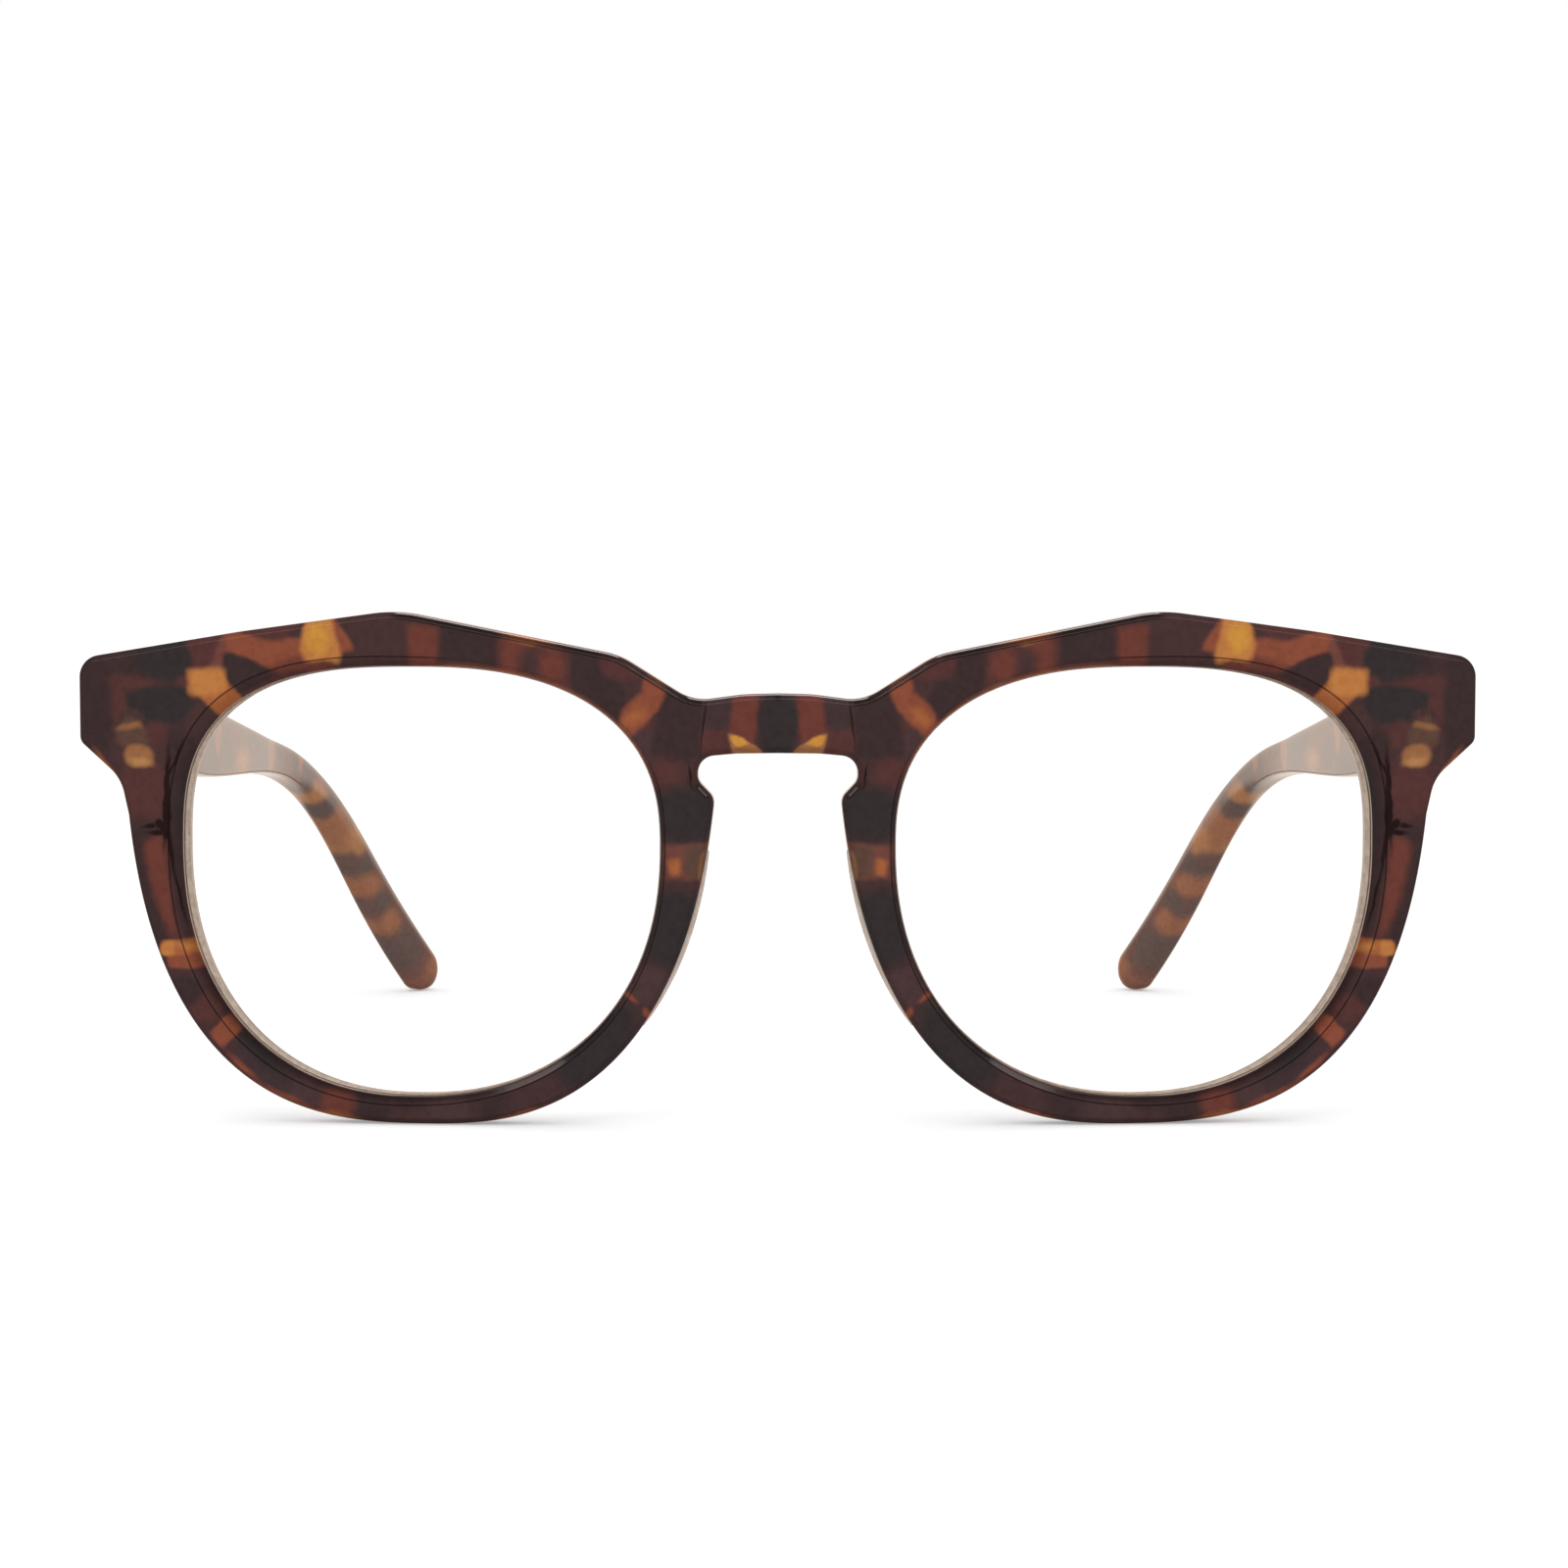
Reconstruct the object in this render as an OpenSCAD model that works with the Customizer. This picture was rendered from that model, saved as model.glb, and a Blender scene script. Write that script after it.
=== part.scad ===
// Full-rim glasses with a keyhole bridge and a raised brow: acetate front, clear lenses
// and two temples that fold on five-barrel hinges.
// Millimetres. X runs across the front, Y from its face back to the temple tips, Z up.
// The origin lies under the middle of the outline, on the table that rims and tips stand on.
// Left and right are the wearer's: the left side is +X.

/* [Lenses] */
// Width of one lens over its bevel
lens_width = 49; // [42:0.5:56]
// Height of one lens over its bevel
lens_height = 43.9; // [34:0.1:52]
// Thickness of a lens
lens_thickness = 1.7; // [1.2:0.1:2.2]
// How far the middle of a lens stands in front of its edge
lens_crown = 1.6; // [0.6:0.1:3]
// Height of the bevel that holds a lens in its rim
bevel_height = 0.6; // [0.4:0.05:0.9]

/* [Front] */
// Gap between the two lenses over the nose
bridge_width = 22; // [16:0.5:26]
// Thickness of the front sheet
front_thickness = 4; // [3.6:0.1:6]
// Radius that the front is bent to, seen from above
front_radius = 400; // [200:10:900]
// Width of the rim under a lens
rim_below = 2.8; // [2:0.1:5]
// Width of the rim beside the nose
rim_nasal = 5.9; // [4:0.1:6.4]
// Width of the rim beside the temple
rim_temporal = 6.2; // [4:0.1:8]
// Height of the brow's peak over the top of a lens opening
brow_rise = 5.5; // [3:0.1:9]
// Reach of the end piece outside the lens opening
end_reach = 10.6; // [8.5:0.1:14]
// Height of the end piece where the temple meets it
end_height = 8.2; // [7:0.1:11]
// Height of the bar over the keyhole
bar_height = 5.9; // [4:0.1:8]
// Drop from the top of a lens opening to the top of the bar
bar_drop = 2.7; // [1.5:0.05:4]
// Bevel along the outer edges of the front
edge_bevel = 0.6; // [0.3:0.05:0.9]
// Bevel round a lens opening, on its temple side
opening_bevel = 1.3; // [0.6:0.1:1.8]

/* [Nose pads] */
// Length of a nose pad along the rim
pad_length = 17.5; // [10:0.5:19]
// Reach of a nose pad behind the front
pad_reach = 5.2; // [3:0.1:7]
// How far a nose pad stands out of the rim, towards the nose
pad_proud = 0.35; // [0:0.05:0.6]
// Thickness of a nose pad at its root
pad_thickness = 3; // [2:0.1:3.6]
// Angle that a nose pad spreads away from the nose
pad_splay = 24; // [10:1:35]

/* [Temples] */
// Length of a temple along its bend, from the hinge screw to the tip
temple_length = 145; // [130:1:155]
// Distance from the hinge screw to the start of the ear bend
ear_bend_at = 85; // [75:1:95]
// Length of the ear bend
ear_bend_length = 43.5; // [30:0.5:50]
// Slope of the shaft below the horizontal
shaft_slope = 7.4; // [3:0.1:12]
// Slope of the tip below the horizontal
tip_slope = 45.3; // [30:0.1:55]
// Angle of the shaft towards the head
shaft_toe_in = 3.1; // [0:0.1:5]
// Angle of the tip towards the head
tip_toe_in = 35.4; // [10:0.1:45]
// Thickness of a temple
temple_thickness = 3.7; // [3.4:0.1:5]
// Height of a temple at its hinge
temple_height = 9.5; // [8.2:0.1:12]
// Height of a temple at its narrowest, over the ear
temple_waist = 3.9; // [3.8:0.1:6]
// Height of a temple near its tip
tip_height = 5.8; // [5:0.1:9]

/* [Hinges] */
// Outer diameter of the hinge barrels
barrel_diameter = 2.9; // [2.4:0.1:3.2]
// Height of one of the five barrels
barrel_height = 1.05; // [0.9:0.05:1.2]
// Diameter of the hinge screw
screw_diameter = 1.4; // [1.2:0.1:1.6]
// Diameter of the screw head
screw_head_diameter = 2.2; // [1.9:0.1:2.3]
// Thickness of the plates set into the acetate
plate_thickness = 1.5; // [1.2:0.1:1.8]
// Length of the plate set into a temple
temple_plate_length = 8; // [6:0.5:12]
// Diameter of the core wire in a temple
core_diameter = 1.3; // [1:0.1:1.6]
// Length of the core wire in a temple
core_length = 68; // [40:1:70]
// Depth of the core wire under the temple's top edge
core_drop = 2.8; // [2.2:0.1:3.4]

/* [Clearances] */
// Gap between the end of a temple and the front, when open
butt_gap = 0.3; // [0.2:0.05:0.5]
// Gap between a lens bevel and its groove
groove_gap = 0.1; // [0.05:0.01:0.2]
// Gap between neighbouring barrels
barrel_gap = 0.1; // [0.05:0.01:0.2]
// Gap round the screw in the barrels that turn on it
running_gap = 0.04; // [0.02:0.01:0.08]
// Gap round metal that is set into acetate, and round the screw where it is held
seat_gap = 0.02; // [0.01:0.01:0.05]
// Gap from the barrels to the acetate beside them
barrel_clear = 0.45; // [0.3:0.05:0.8]

/* [Hidden] */

tortoise = [0.30, 0.15, 0.08];
pad_amber = [0.55, 0.33, 0.16];
clear = [0.85, 0.92, 0.95, 0.35];
steel = [0.72, 0.72, 0.70];

// Landmarks of the left eye, as seen from the front with the wearer's left at +X.
opening_width = lens_width - 2 * bevel_height;
opening_height = lens_height - 2 * bevel_height;
nasal_x = bridge_width / 2 + bevel_height;
temporal_x = nasal_x + opening_width;
top_z = rim_below + opening_height;
crown_x = nasal_x + 0.51 * opening_width;
crown_z = rim_below + 0.585 * opening_height;
end_x = temporal_x + end_reach;
end_top_z = top_z + 0.7;
groove_depth = front_thickness / 2;
groove_half = lens_thickness / 2 + groove_gap;

// The front is a sheet bent to a cylinder. Its outline is drawn on the face, and a point
// under the face lies towards the cylinder's axis.
function bent(p, depth) = let(turn = asin(p[0] / front_radius), r = front_radius - depth)
    [r * sin(turn), front_radius - r * cos(turn), p[1]];
// Where the surface at this depth stands at x.
function sheet_y(x, depth) = front_radius - sqrt(pow(front_radius - depth, 2) - x * x);
function mirrored(p) = [-p[0], p[1], p[2]];

// A superellipse with its own reach in each quadrant. Angle 0 points to the temple, 90 up.
function quadrant(angle, reach, power) = let(
    c = abs(cos(angle)), s = abs(sin(angle)),
    r = 1 / pow(pow(c / reach[0], power) + pow(s / reach[1], power), 1 / power)
) [r * cos(angle), r * sin(angle)];

// Edge of a lens opening, grown outwards.
function opening(angle, grow = 0) = let(
    nasal = cos(angle) < 0, low = sin(angle) < 0,
    across = nasal ? crown_x - nasal_x : temporal_x - crown_x,
    up = low ? crown_z - rim_below : top_z - crown_z,
    power = low ? 2.24 : (nasal ? 2.45 : 2.8)
) [crown_x, crown_z] + quadrant(angle, [across + grow, up + grow], power);

// Outer edge of the rim below the lens's middle: the lower part of a superellipse that is
// centred above the lens opening. It runs from the temple side round to the nose.
rim_x = crown_x - 1.4;
rim_z = top_z + 1;
rim_start = atan((rim_z - crown_z - 2.5) / (temporal_x - rim_x + rim_temporal));
nasal_power = 2.54;
temporal_power = 2.755;
function rim_edge(t) = let(
    angle = -mix(rim_start, 180 - rim_start, t),
    nasal = cos(angle) < 0,
    across = nasal ? rim_x - nasal_x + rim_nasal : temporal_x - rim_x + rim_temporal
) [rim_x, rim_z] + quadrant(angle, [across, rim_z], nasal ? nasal_power : temporal_power);

// Nose side of that edge at a height, and the middle height of the nose pads.
function nose_side(z) = [
    rim_x - (rim_x - nasal_x + rim_nasal) * pow(1 - pow((rim_z - z) / rim_z, nasal_power), 1 / nasal_power), z
];
pad_mid_z = crown_z - 9.4;

// Corners of the outline above the rim's middle: x, z, fillet radius and the angle of
// the opening that faces the corner.
keyhole_x = nasal_x - 3.2;
bar_top_z = top_z - bar_drop;
bar_low_z = bar_top_z - bar_height;
nose_edge = rim_edge(1);
cheek_edge = rim_edge(0);
corners = [
    [nose_edge[0], nose_edge[1], 0, 180],
    [nose_edge[0] - 0.05, nose_edge[1] + 0.8, 1.4, 177],
    [keyhole_x - 0.5, nose_edge[1] + 2.5, 1.4, 167],
    [keyhole_x - 0.5, bar_low_z - 0.4, 1.7, 157.5],
    [keyhole_x / 2, bar_low_z - 0.05, 14, 155.5],
    [0, bar_low_z, 0, 154.5],
    [0, bar_top_z, 0, 152.5],
    [0.4 * keyhole_x, bar_top_z - 0.08, 16, 151.5],
    [keyhole_x, bar_top_z - 0.75, 5, 147.5],
    [nasal_x + 4.1, top_z + 1.1, 8, 134],
    [crown_x + 1.9, top_z + brow_rise, 14, 87],
    [crown_x + 17.5, mix(top_z + brow_rise, end_top_z, 0.48) + 0.2, 60, 60],
    [end_x, end_top_z, 2.2, 36],
    [end_x - 0.05, end_top_z - end_height - 0.1, 1.2, 20],
    [cheek_edge[0] + 0.8, cheek_edge[1] + 3.6, 4.5, 11],
    [cheek_edge[0], cheek_edge[1], 0, 0]
];

function flat(p) = [p[0], p[1]];
function unit(v) = v / norm(v);
function mix(a, b, t) = a + (b - a) * t;

// Points of the fillet at corner i, each with the opening angle that it faces.
function fillet(i) = let(
    a = corners[i - 1], b = corners[i], c = corners[i + 1],
    back = unit(flat(a) - flat(b)), on = unit(flat(c) - flat(b)),
    half = acos(back * on) / 2,
    run = b[2] / tan(half),
    centre = flat(b) + unit(back + on) * b[2] / sin(half),
    sweep = 90 - half,
    spoke = -unit(back + on), side = unit(on - back),
    steps = max(2, ceil(sweep / 11))
) [for (k = [-steps : steps]) let(
    t = k / steps,
    p = centre + b[2] * (cos(sweep * t) * spoke + sin(sweep * t) * side),
    leg = t < 0 ? norm(flat(b) - flat(a)) : norm(flat(c) - flat(b)),
    other = t < 0 ? a[3] : c[3]
) [p[0], p[1], mix(b[3], other, abs(t) * run / leg)]];

function corner_points(i) = corners[i][2] > 0 ? fillet(i) : [[corners[i][0], corners[i][1], corners[i][3]]];

// Points between two stations on a straight leg, at most five degrees of opening apart.
function leg_points(a, b) = let(count = ceil(abs(b[2] - a[2]) / 5))
    [for (k = [1 : 1 : count - 1]) mix(a, b, k / count)];

rim_steps = 38;
last_corner = len(corners) - 1;
upper = [for (i = [1 : last_corner]) corner_points(i)];
upper_edge = [for (i = [0 : last_corner - 1]) each concat(
    leg_points(i == 0 ? corner_points(0)[0] : upper[i - 1][len(upper[i - 1]) - 1], upper[i][0]),
    i < last_corner - 1 ? upper[i] : []
)];
lower_edge = [for (k = [0 : rim_steps]) let(p = rim_edge(k / rim_steps))
    [p[0], p[1], k < rim_steps ? -180 * k / rim_steps : 180]];
outline = concat(lower_edge, upper_edge);
stations = len(outline);

function on_middle(k) = outline[k][0] == 0;

// Outline moved inwards by a bevel. Stations on the middle plane stay on it.
function inset(k, bevel) = let(
    here = flat(outline[k]),
    before = flat(outline[(k + stations - 1) % stations]),
    after = flat(outline[(k + 1) % stations]),
    along = unit(after - before)
) on_middle(k)
    ? [0, mix(bar_low_z + bevel, bar_top_z - bevel, (here[1] - bar_low_z) / bar_height)]
    : here + bevel * [along[1], -along[0]];

// Width of the bevel round the opening: widest at the temple, narrow at the nose.
function opening_bevel_at(angle) = opening_bevel * (0.35 + 0.65 * (1 + cos(angle)) / 2);

// The back edge stays square where a nose pad is bonded on.
function back_bevel(p) = p[0] < rim_x && abs(p[1] - pad_mid_z) < pad_length / 2 + 1 ? 0.05 : edge_bevel;

// Section through the front at one station, from the back of the opening round to the
// back of the outer edge.
function section(k) = let(
    angle = outline[k][2], edge = flat(outline[k]), inner = opening(angle), square = back_bevel(edge)
) [
    bent(inner, front_thickness),
    bent(inner, groove_depth + groove_half),
    bent(opening(angle, bevel_height + groove_gap), groove_depth),
    bent(inner, groove_depth - groove_half),
    bent(inner, edge_bevel),
    bent(opening(angle, opening_bevel_at(angle)), 0),
    bent(inset(k, edge_bevel), 0),
    bent(edge, edge_bevel),
    bent(edge, front_thickness - square),
    bent(inset(k, square), front_thickness)
];

module front_sheet() {
    ring = 10;
    half = [for (k = [0 : stations - 1]) each section(k)];
    count = len(half);
    points = concat(half, [for (p = half) mirrored(p)]);
    // The two halves share the outer points that lie on the middle plane.
    function left(i) = i;
    function right(i) = on_middle(floor(i / ring)) && i % ring > 5 ? i : i + count;
    quads = [for (k = [0 : stations - 1], j = [0 : ring - 1]) let(n = (k + 1) % stations, m = (j + 1) % ring)
        if (!(on_middle(k) && on_middle(n) && j > 5 && j < 9))
            [k * ring + j, n * ring + j, n * ring + m, k * ring + m]];
    polyhedron(points, concat(
        [for (q = quads) each [[left(q[2]), left(q[1]), left(q[0])], [left(q[3]), left(q[2]), left(q[0])]]],
        [for (q = quads) each [[right(q[0]), right(q[1]), right(q[2])], [right(q[0]), right(q[2]), right(q[3])]]]
    ));
}

// Hinge line of the left side. The temple's inner face lies a barrel's clearance outside
// the barrels, and the front's back face the same in front of them.
barrel_radius = barrel_diameter / 2;
temple_inner_x = bent([end_x, 0], front_thickness)[0] - temple_thickness;
pivot_x = temple_inner_x - barrel_clear - barrel_radius;
pivot_y = sheet_y(pivot_x + barrel_radius, front_thickness) + barrel_clear + barrel_radius;
hinge_height = 5 * barrel_height + 4 * barrel_gap;
pivot_z = end_top_z - end_height / 2;

// Path of a temple's top inner edge, walked in short steps from the hinge to the tip.
temple_top_z = end_top_z - 0.3;
path_length = 1.015 * temple_length;
shaft_steps = 9;
bend_steps = 30;
function station_s(i) = i <= shaft_steps ? ear_bend_at * i / shaft_steps
    : mix(ear_bend_at, path_length, sin(90 * (i - shaft_steps) / bend_steps * 0.9) / sin(81));
temple_stations = shaft_steps + bend_steps;
function ease(t) = let(u = min(1, max(0, t))) u * u * (3 - 2 * u);
toe_in_start = 0.936 * ear_bend_at;
function toe_in(s) = mix(shaft_toe_in, tip_toe_in, min(1, max(0, (s - toe_in_start) / (path_length - toe_in_start))));
function slope(s) = mix(shaft_slope, tip_slope, ease((s - ear_bend_at) / ear_bend_length));
function heading(s) = [-sin(toe_in(s)) * cos(slope(s)), cos(toe_in(s)) * cos(slope(s)), -sin(slope(s))];
function outward(s) = [cos(toe_in(s)), sin(toe_in(s)), 0];
function walk(i, p) = i > temple_stations ? []
    : concat([p], walk(i + 1, p + (station_s(i + 1) - station_s(i)) * heading((station_s(i) + station_s(i + 1)) / 2)));
temple_start = [temple_inner_x, sheet_y(temple_inner_x + temple_thickness, front_thickness) + butt_gap, temple_top_z];
temple_path = walk(0, temple_start);

// Height of a temple along its length: a straight-edged shaft that narrows behind its
// lower edge's belly, a waist over the ear and a paddle at the tip.
knee_s = 0.4 * ear_bend_at;
waist_s = ear_bend_at + 0.2 * ear_bend_length;
paddle_s = path_length - tip_height;
function temple_height_at(s) = let(belly = 0.87 * temple_height)
    s < knee_s ? mix(temple_height, belly, s / knee_s)
    : s < waist_s ? mix(belly, temple_waist, ease((s - knee_s) / (waist_s - knee_s)))
    : mix(temple_waist, tip_height, ease((s - waist_s) / (paddle_s - waist_s)));

// Squareness of the section: crisp along the shaft, round over the ear and at the tip.
function squareness(s) = mix(7, 2.8, ease(0.4 + 1.2 * (s - ear_bend_at) / ear_bend_length));
function signed_root(v, power) = sign(v) * pow(abs(v), 2 / power);
temple_sides = 20;
function temple_ring(i) = let(
    s = station_s(i), p = temple_path[i], out = outward(s), down = -cross(out, heading(s)),
    tall = temple_height_at(s), left_over = path_length - s,
    close = left_over < tall / 2 ? sqrt(max(0.002, 1 - pow(1 - left_over / (tall / 2), 2))) : 1,
    middle = p + down * tall / 2 + out * temple_thickness / 2
) [for (k = [0 : temple_sides - 1]) let(
    angle = 360 * (k + 0.5) / temple_sides,
    across = temple_thickness / 2 * signed_root(cos(angle), squareness(s)) * mix(0.45, 1, close),
    tallness = tall / 2 * signed_root(sin(angle), squareness(s)) * close,
    q = middle + out * across - down * tallness
) i > 0 ? q : [q[0], sheet_y(q[0], front_thickness) + butt_gap, q[2]]];

module temple_bar() {
    last = temple_stations * temple_sides;
    points = [for (i = [0 : temple_stations]) each temple_ring(i)];
    polyhedron(points, concat(
        [[for (k = [temple_sides - 1 : -1 : 0]) k]],
        [for (i = [0 : temple_stations - 1], k = [0 : temple_sides - 1]) let(
            a = i * temple_sides, n = (k + 1) % temple_sides
        ) each [[a + k, a + n, a + temple_sides + k], [a + temple_sides + k, a + n, a + temple_sides + n]]],
        [[for (k = [0 : temple_sides - 1]) last + k]]
    ));
}

// A lens is a loft from its middle to the bevel that sits in the groove. Each spoke runs
// out over the front surface and back over the rear one.
lens_spokes = 56;
lens_shares = [0.3, 0.55, 0.76, 0.9, 1];
lens_half = lens_thickness / 2;
function lens_point(angle, share, depth) = let(middle = [crown_x, crown_z])
    bent(mix(middle, opening(angle, -groove_gap), share), groove_depth + depth - lens_crown * (1 - share * share));
function lens_spoke(angle) = concat(
    [for (share = lens_shares) lens_point(angle, share, -lens_half)],
    [bent(opening(angle, bevel_height), groove_depth)],
    [for (i = [len(lens_shares) - 1 : -1 : 0]) lens_point(angle, lens_shares[i], lens_half)]
);

module lens_body() {
    row = 2 * len(lens_shares) + 1;
    front_pole = lens_spokes * row;
    points = concat(
        [for (k = [0 : lens_spokes - 1]) each lens_spoke(360 * k / lens_spokes)],
        [lens_point(0, 0, -lens_half), lens_point(0, 0, lens_half)]
    );
    polyhedron(points, [for (k = [0 : lens_spokes - 1]) let(a = k * row, b = (k + 1) % lens_spokes * row) each concat(
        [[front_pole, b, a], [front_pole + 1, a + row - 1, b + row - 1]],
        [for (j = [0 : row - 2]) each [[a + j, b + j, b + j + 1], [a + j, b + j + 1, a + j + 1]]]
    )]);
}

// A nose pad stands on the back of the rim, flush with its nose side, and leans away
// from the nose as it reaches back. Its section is lowest at both ends.
pad_stations = 12;
function pad_section(i) = let(
    t = i / pad_stations,
    z = pad_mid_z + pad_length * (t - 0.5),
    along = unit(nose_side(z + 0.5) - nose_side(z - 0.5)),
    inward = [along[1], -along[0]],
    swell = pow(sin(180 * mix(0.06, 0.94, t)), 0.7),
    reach = pad_reach * swell,
    root = pad_thickness * mix(0.6, 1, swell),
    stand = pad_proud * swell,
    lean = tan(pad_splay)
) [for (q = [
    [0.1 - stand / 3, seat_gap], [-stand, 0.25 * reach], [0.1 * root - stand, 0.55 * reach],
    [0.3 * lean * reach, 0.85 * reach],
    [0.62 * lean * reach, reach], [0.9 * lean * reach, 0.97 * reach], [lean * reach, 0.75 * reach],
    [0.35 * root + 0.6 * lean * reach, 0.4 * reach], [root, seat_gap]
]) bent(nose_side(z) + inward * q[0], front_thickness + q[1])];

module nose_pad_body() {
    rows = [for (i = [0 : pad_stations]) pad_section(i)];
    sides = len(rows[0]);
    last = pad_stations * sides;
    polyhedron([for (r = rows) each r], concat(
        [[for (k = [sides - 1 : -1 : 0]) k]],
        [for (i = [0 : pad_stations - 1], k = [0 : sides - 1]) let(a = i * sides, n = (k + 1) % sides)
            each [[a + k, a + n, a + sides + k], [a + sides + k, a + n, a + sides + n]]],
        [[for (k = [0 : sides - 1]) last + k]]
    ));
}

// Hinges, modelled about the hinge line of the left side. Barrels count from the bottom:
// the first, third and fifth belong to the front, the second and fourth to the temple.
pitch = barrel_height + barrel_gap;
arm_half = 0.62 * barrel_radius;
arm_front = 0.2 * barrel_radius;
screw_radius = screw_diameter / 2;
head_height = 0.45;
module at_pivot() translate([pivot_x, pivot_y, pivot_z]) children();
module barrels(indices) for (i = indices) translate([0, 0, i * pitch - hinge_height / 2])
    cylinder(d = barrel_diameter, h = barrel_height, $fn = 48);
module arms(indices) for (i = indices) translate([0, 0, i * pitch - hinge_height / 2]) children();
module bore(gap) cylinder(d = screw_diameter + 2 * gap, h = hinge_height + 1, center = true, $fn = 48);

// Plate in the back of the front. Grown, it is the pocket that the plate sits in.
front_plate_width = 3.2;
front_plate_back = barrel_radius + barrel_clear - 0.15;
module front_plate(grow = 0) translate([-front_plate_width / 2 - grow, -front_plate_back - plate_thickness - grow, 0])
    translate([0, 0, -hinge_height / 2 - grow])
        cube([front_plate_width + 2 * grow, plate_thickness + (grow > 0 ? 1.2 : 0), hinge_height + 2 * grow]);

module front_leaf() difference() {
    union() {
        barrels([0, 2, 4]);
        arms([0, 2, 4]) translate([-arm_half, -front_plate_back - 0.1, 0])
            cube([2 * arm_half, front_plate_back + 0.1, barrel_height]);
        front_plate();
    }
    bore(seat_gap);
    translate([0, 0, hinge_height / 2 - head_height - seat_gap])
        cylinder(d = screw_head_diameter + 2 * seat_gap, h = 1, $fn = 48);
}

module hinge_screw() difference() {
    union() {
        translate([0, 0, -hinge_height / 2]) cylinder(d = screw_diameter, h = hinge_height - 0.1, $fn = 48);
        translate([0, 0, hinge_height / 2 - head_height])
            cylinder(d = screw_head_diameter, h = head_height, $fn = 48);
    }
    translate([-2, -0.15, hinge_height / 2 - 0.22]) cube([4, 0.3, 1]);
}

// Frame of a temple's shaft: its origin is on the inner face at the end that meets the
// front, X goes out through the thickness, Y along the shaft and Z up its height.
module on_shaft() translate([temple_start[0], temple_start[1], pivot_z])
    rotate([0, 0, shaft_toe_in]) rotate([-shaft_slope, 0, 0]) children();

// Plate in a temple's inner face with the core wire brazed to it, or their pocket.
temple_plate_start = pivot_y - temple_start[1] - arm_front - 0.3;
module temple_plate(grow = 0) on_shaft() {
    translate([grow > 0 ? -1 : 0, temple_plate_start - grow, -hinge_height / 2 - grow])
        cube([plate_thickness + (grow > 0 ? 1 + grow : 0), temple_plate_length + 2 * grow, hinge_height + 2 * grow]);
    translate([plate_thickness + 0.2, temple_plate_length - 1 - grow, temple_top_z - pivot_z - core_drop])
        rotate([-90, 0, 0])
            cylinder(d = core_diameter + 2 * grow, h = core_length + 2 * grow, $fn = 32);
}

module temple_leaf() difference() {
    union() {
        at_pivot() {
            barrels([1, 3]);
            arms([1, 3]) translate([0, -arm_front, 0])
                cube([barrel_radius + barrel_clear + 0.4, arm_front + arm_half, barrel_height]);
        }
        temple_plate();
    }
    at_pivot() bore(running_gap);
}

// Everything is modelled with the front face at Y = 0 and then centred by its depth.
rear_y = max([for (i = [0 : temple_stations]) each [for (q = temple_ring(i)) q[1]]]);
module in_frame() translate([0, -rear_y / 2, 0]) children();
module on_right() mirror([1, 0, 0]) children();

module front() color(tortoise) in_frame() difference() {
    front_sheet();
    at_pivot() front_plate(seat_gap);
    on_right() at_pivot() front_plate(seat_gap);
}
module lens_left() color(clear) in_frame() lens_body();
module lens_right() color(clear) in_frame() on_right() lens_body();
module nose_pad_left() color(pad_amber) in_frame() nose_pad_body();
module nose_pad_right() color(pad_amber) in_frame() on_right() nose_pad_body();
module front_hinge_left() color(steel) in_frame() at_pivot() front_leaf();
module front_hinge_right() color(steel) in_frame() on_right() at_pivot() front_leaf();
module hinge_screw_left() color(steel) in_frame() at_pivot() hinge_screw();
module hinge_screw_right() color(steel) in_frame() on_right() at_pivot() hinge_screw();
module temple_left() color(tortoise) in_frame() difference() {
    temple_bar();
    temple_plate(seat_gap);
}
module temple_right() color(tortoise) in_frame() on_right() difference() {
    temple_bar();
    temple_plate(seat_gap);
}
module temple_hinge_left() color(steel) in_frame() temple_leaf();
module temple_hinge_right() color(steel) in_frame() on_right() temple_leaf();

front();
lens_left();
lens_right();
nose_pad_left();
nose_pad_right();
front_hinge_left();
front_hinge_right();
hinge_screw_left();
hinge_screw_right();
temple_left();
temple_right();
temple_hinge_left();
temple_hinge_right();
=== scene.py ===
"""Full-rim keyhole glasses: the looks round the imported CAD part.

The acetate front, pads and temples and the two lenses are built again here as fine meshes
from the part's own sizes and stand for their CAD nodes. The hinges and screws stay as they
are and get their metals. Sizes are in millimetres and points go to Blender in metres."""
import math

import bmesh
import bpy
import numpy as np
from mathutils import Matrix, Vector


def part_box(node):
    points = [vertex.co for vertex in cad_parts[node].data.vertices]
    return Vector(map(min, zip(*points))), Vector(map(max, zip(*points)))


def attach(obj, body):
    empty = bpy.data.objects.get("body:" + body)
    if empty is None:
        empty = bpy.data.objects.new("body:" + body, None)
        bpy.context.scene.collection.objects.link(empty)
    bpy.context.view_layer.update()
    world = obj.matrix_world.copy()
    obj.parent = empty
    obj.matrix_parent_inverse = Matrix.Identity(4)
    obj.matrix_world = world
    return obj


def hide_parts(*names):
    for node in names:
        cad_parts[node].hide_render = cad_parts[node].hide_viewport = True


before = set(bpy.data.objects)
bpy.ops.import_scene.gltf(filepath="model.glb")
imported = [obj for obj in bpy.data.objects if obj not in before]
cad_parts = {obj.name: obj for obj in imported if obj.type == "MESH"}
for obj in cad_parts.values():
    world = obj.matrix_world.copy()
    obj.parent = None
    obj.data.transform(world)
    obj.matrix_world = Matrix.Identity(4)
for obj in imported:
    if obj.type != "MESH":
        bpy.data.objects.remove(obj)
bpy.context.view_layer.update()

MM = 0.001

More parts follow.
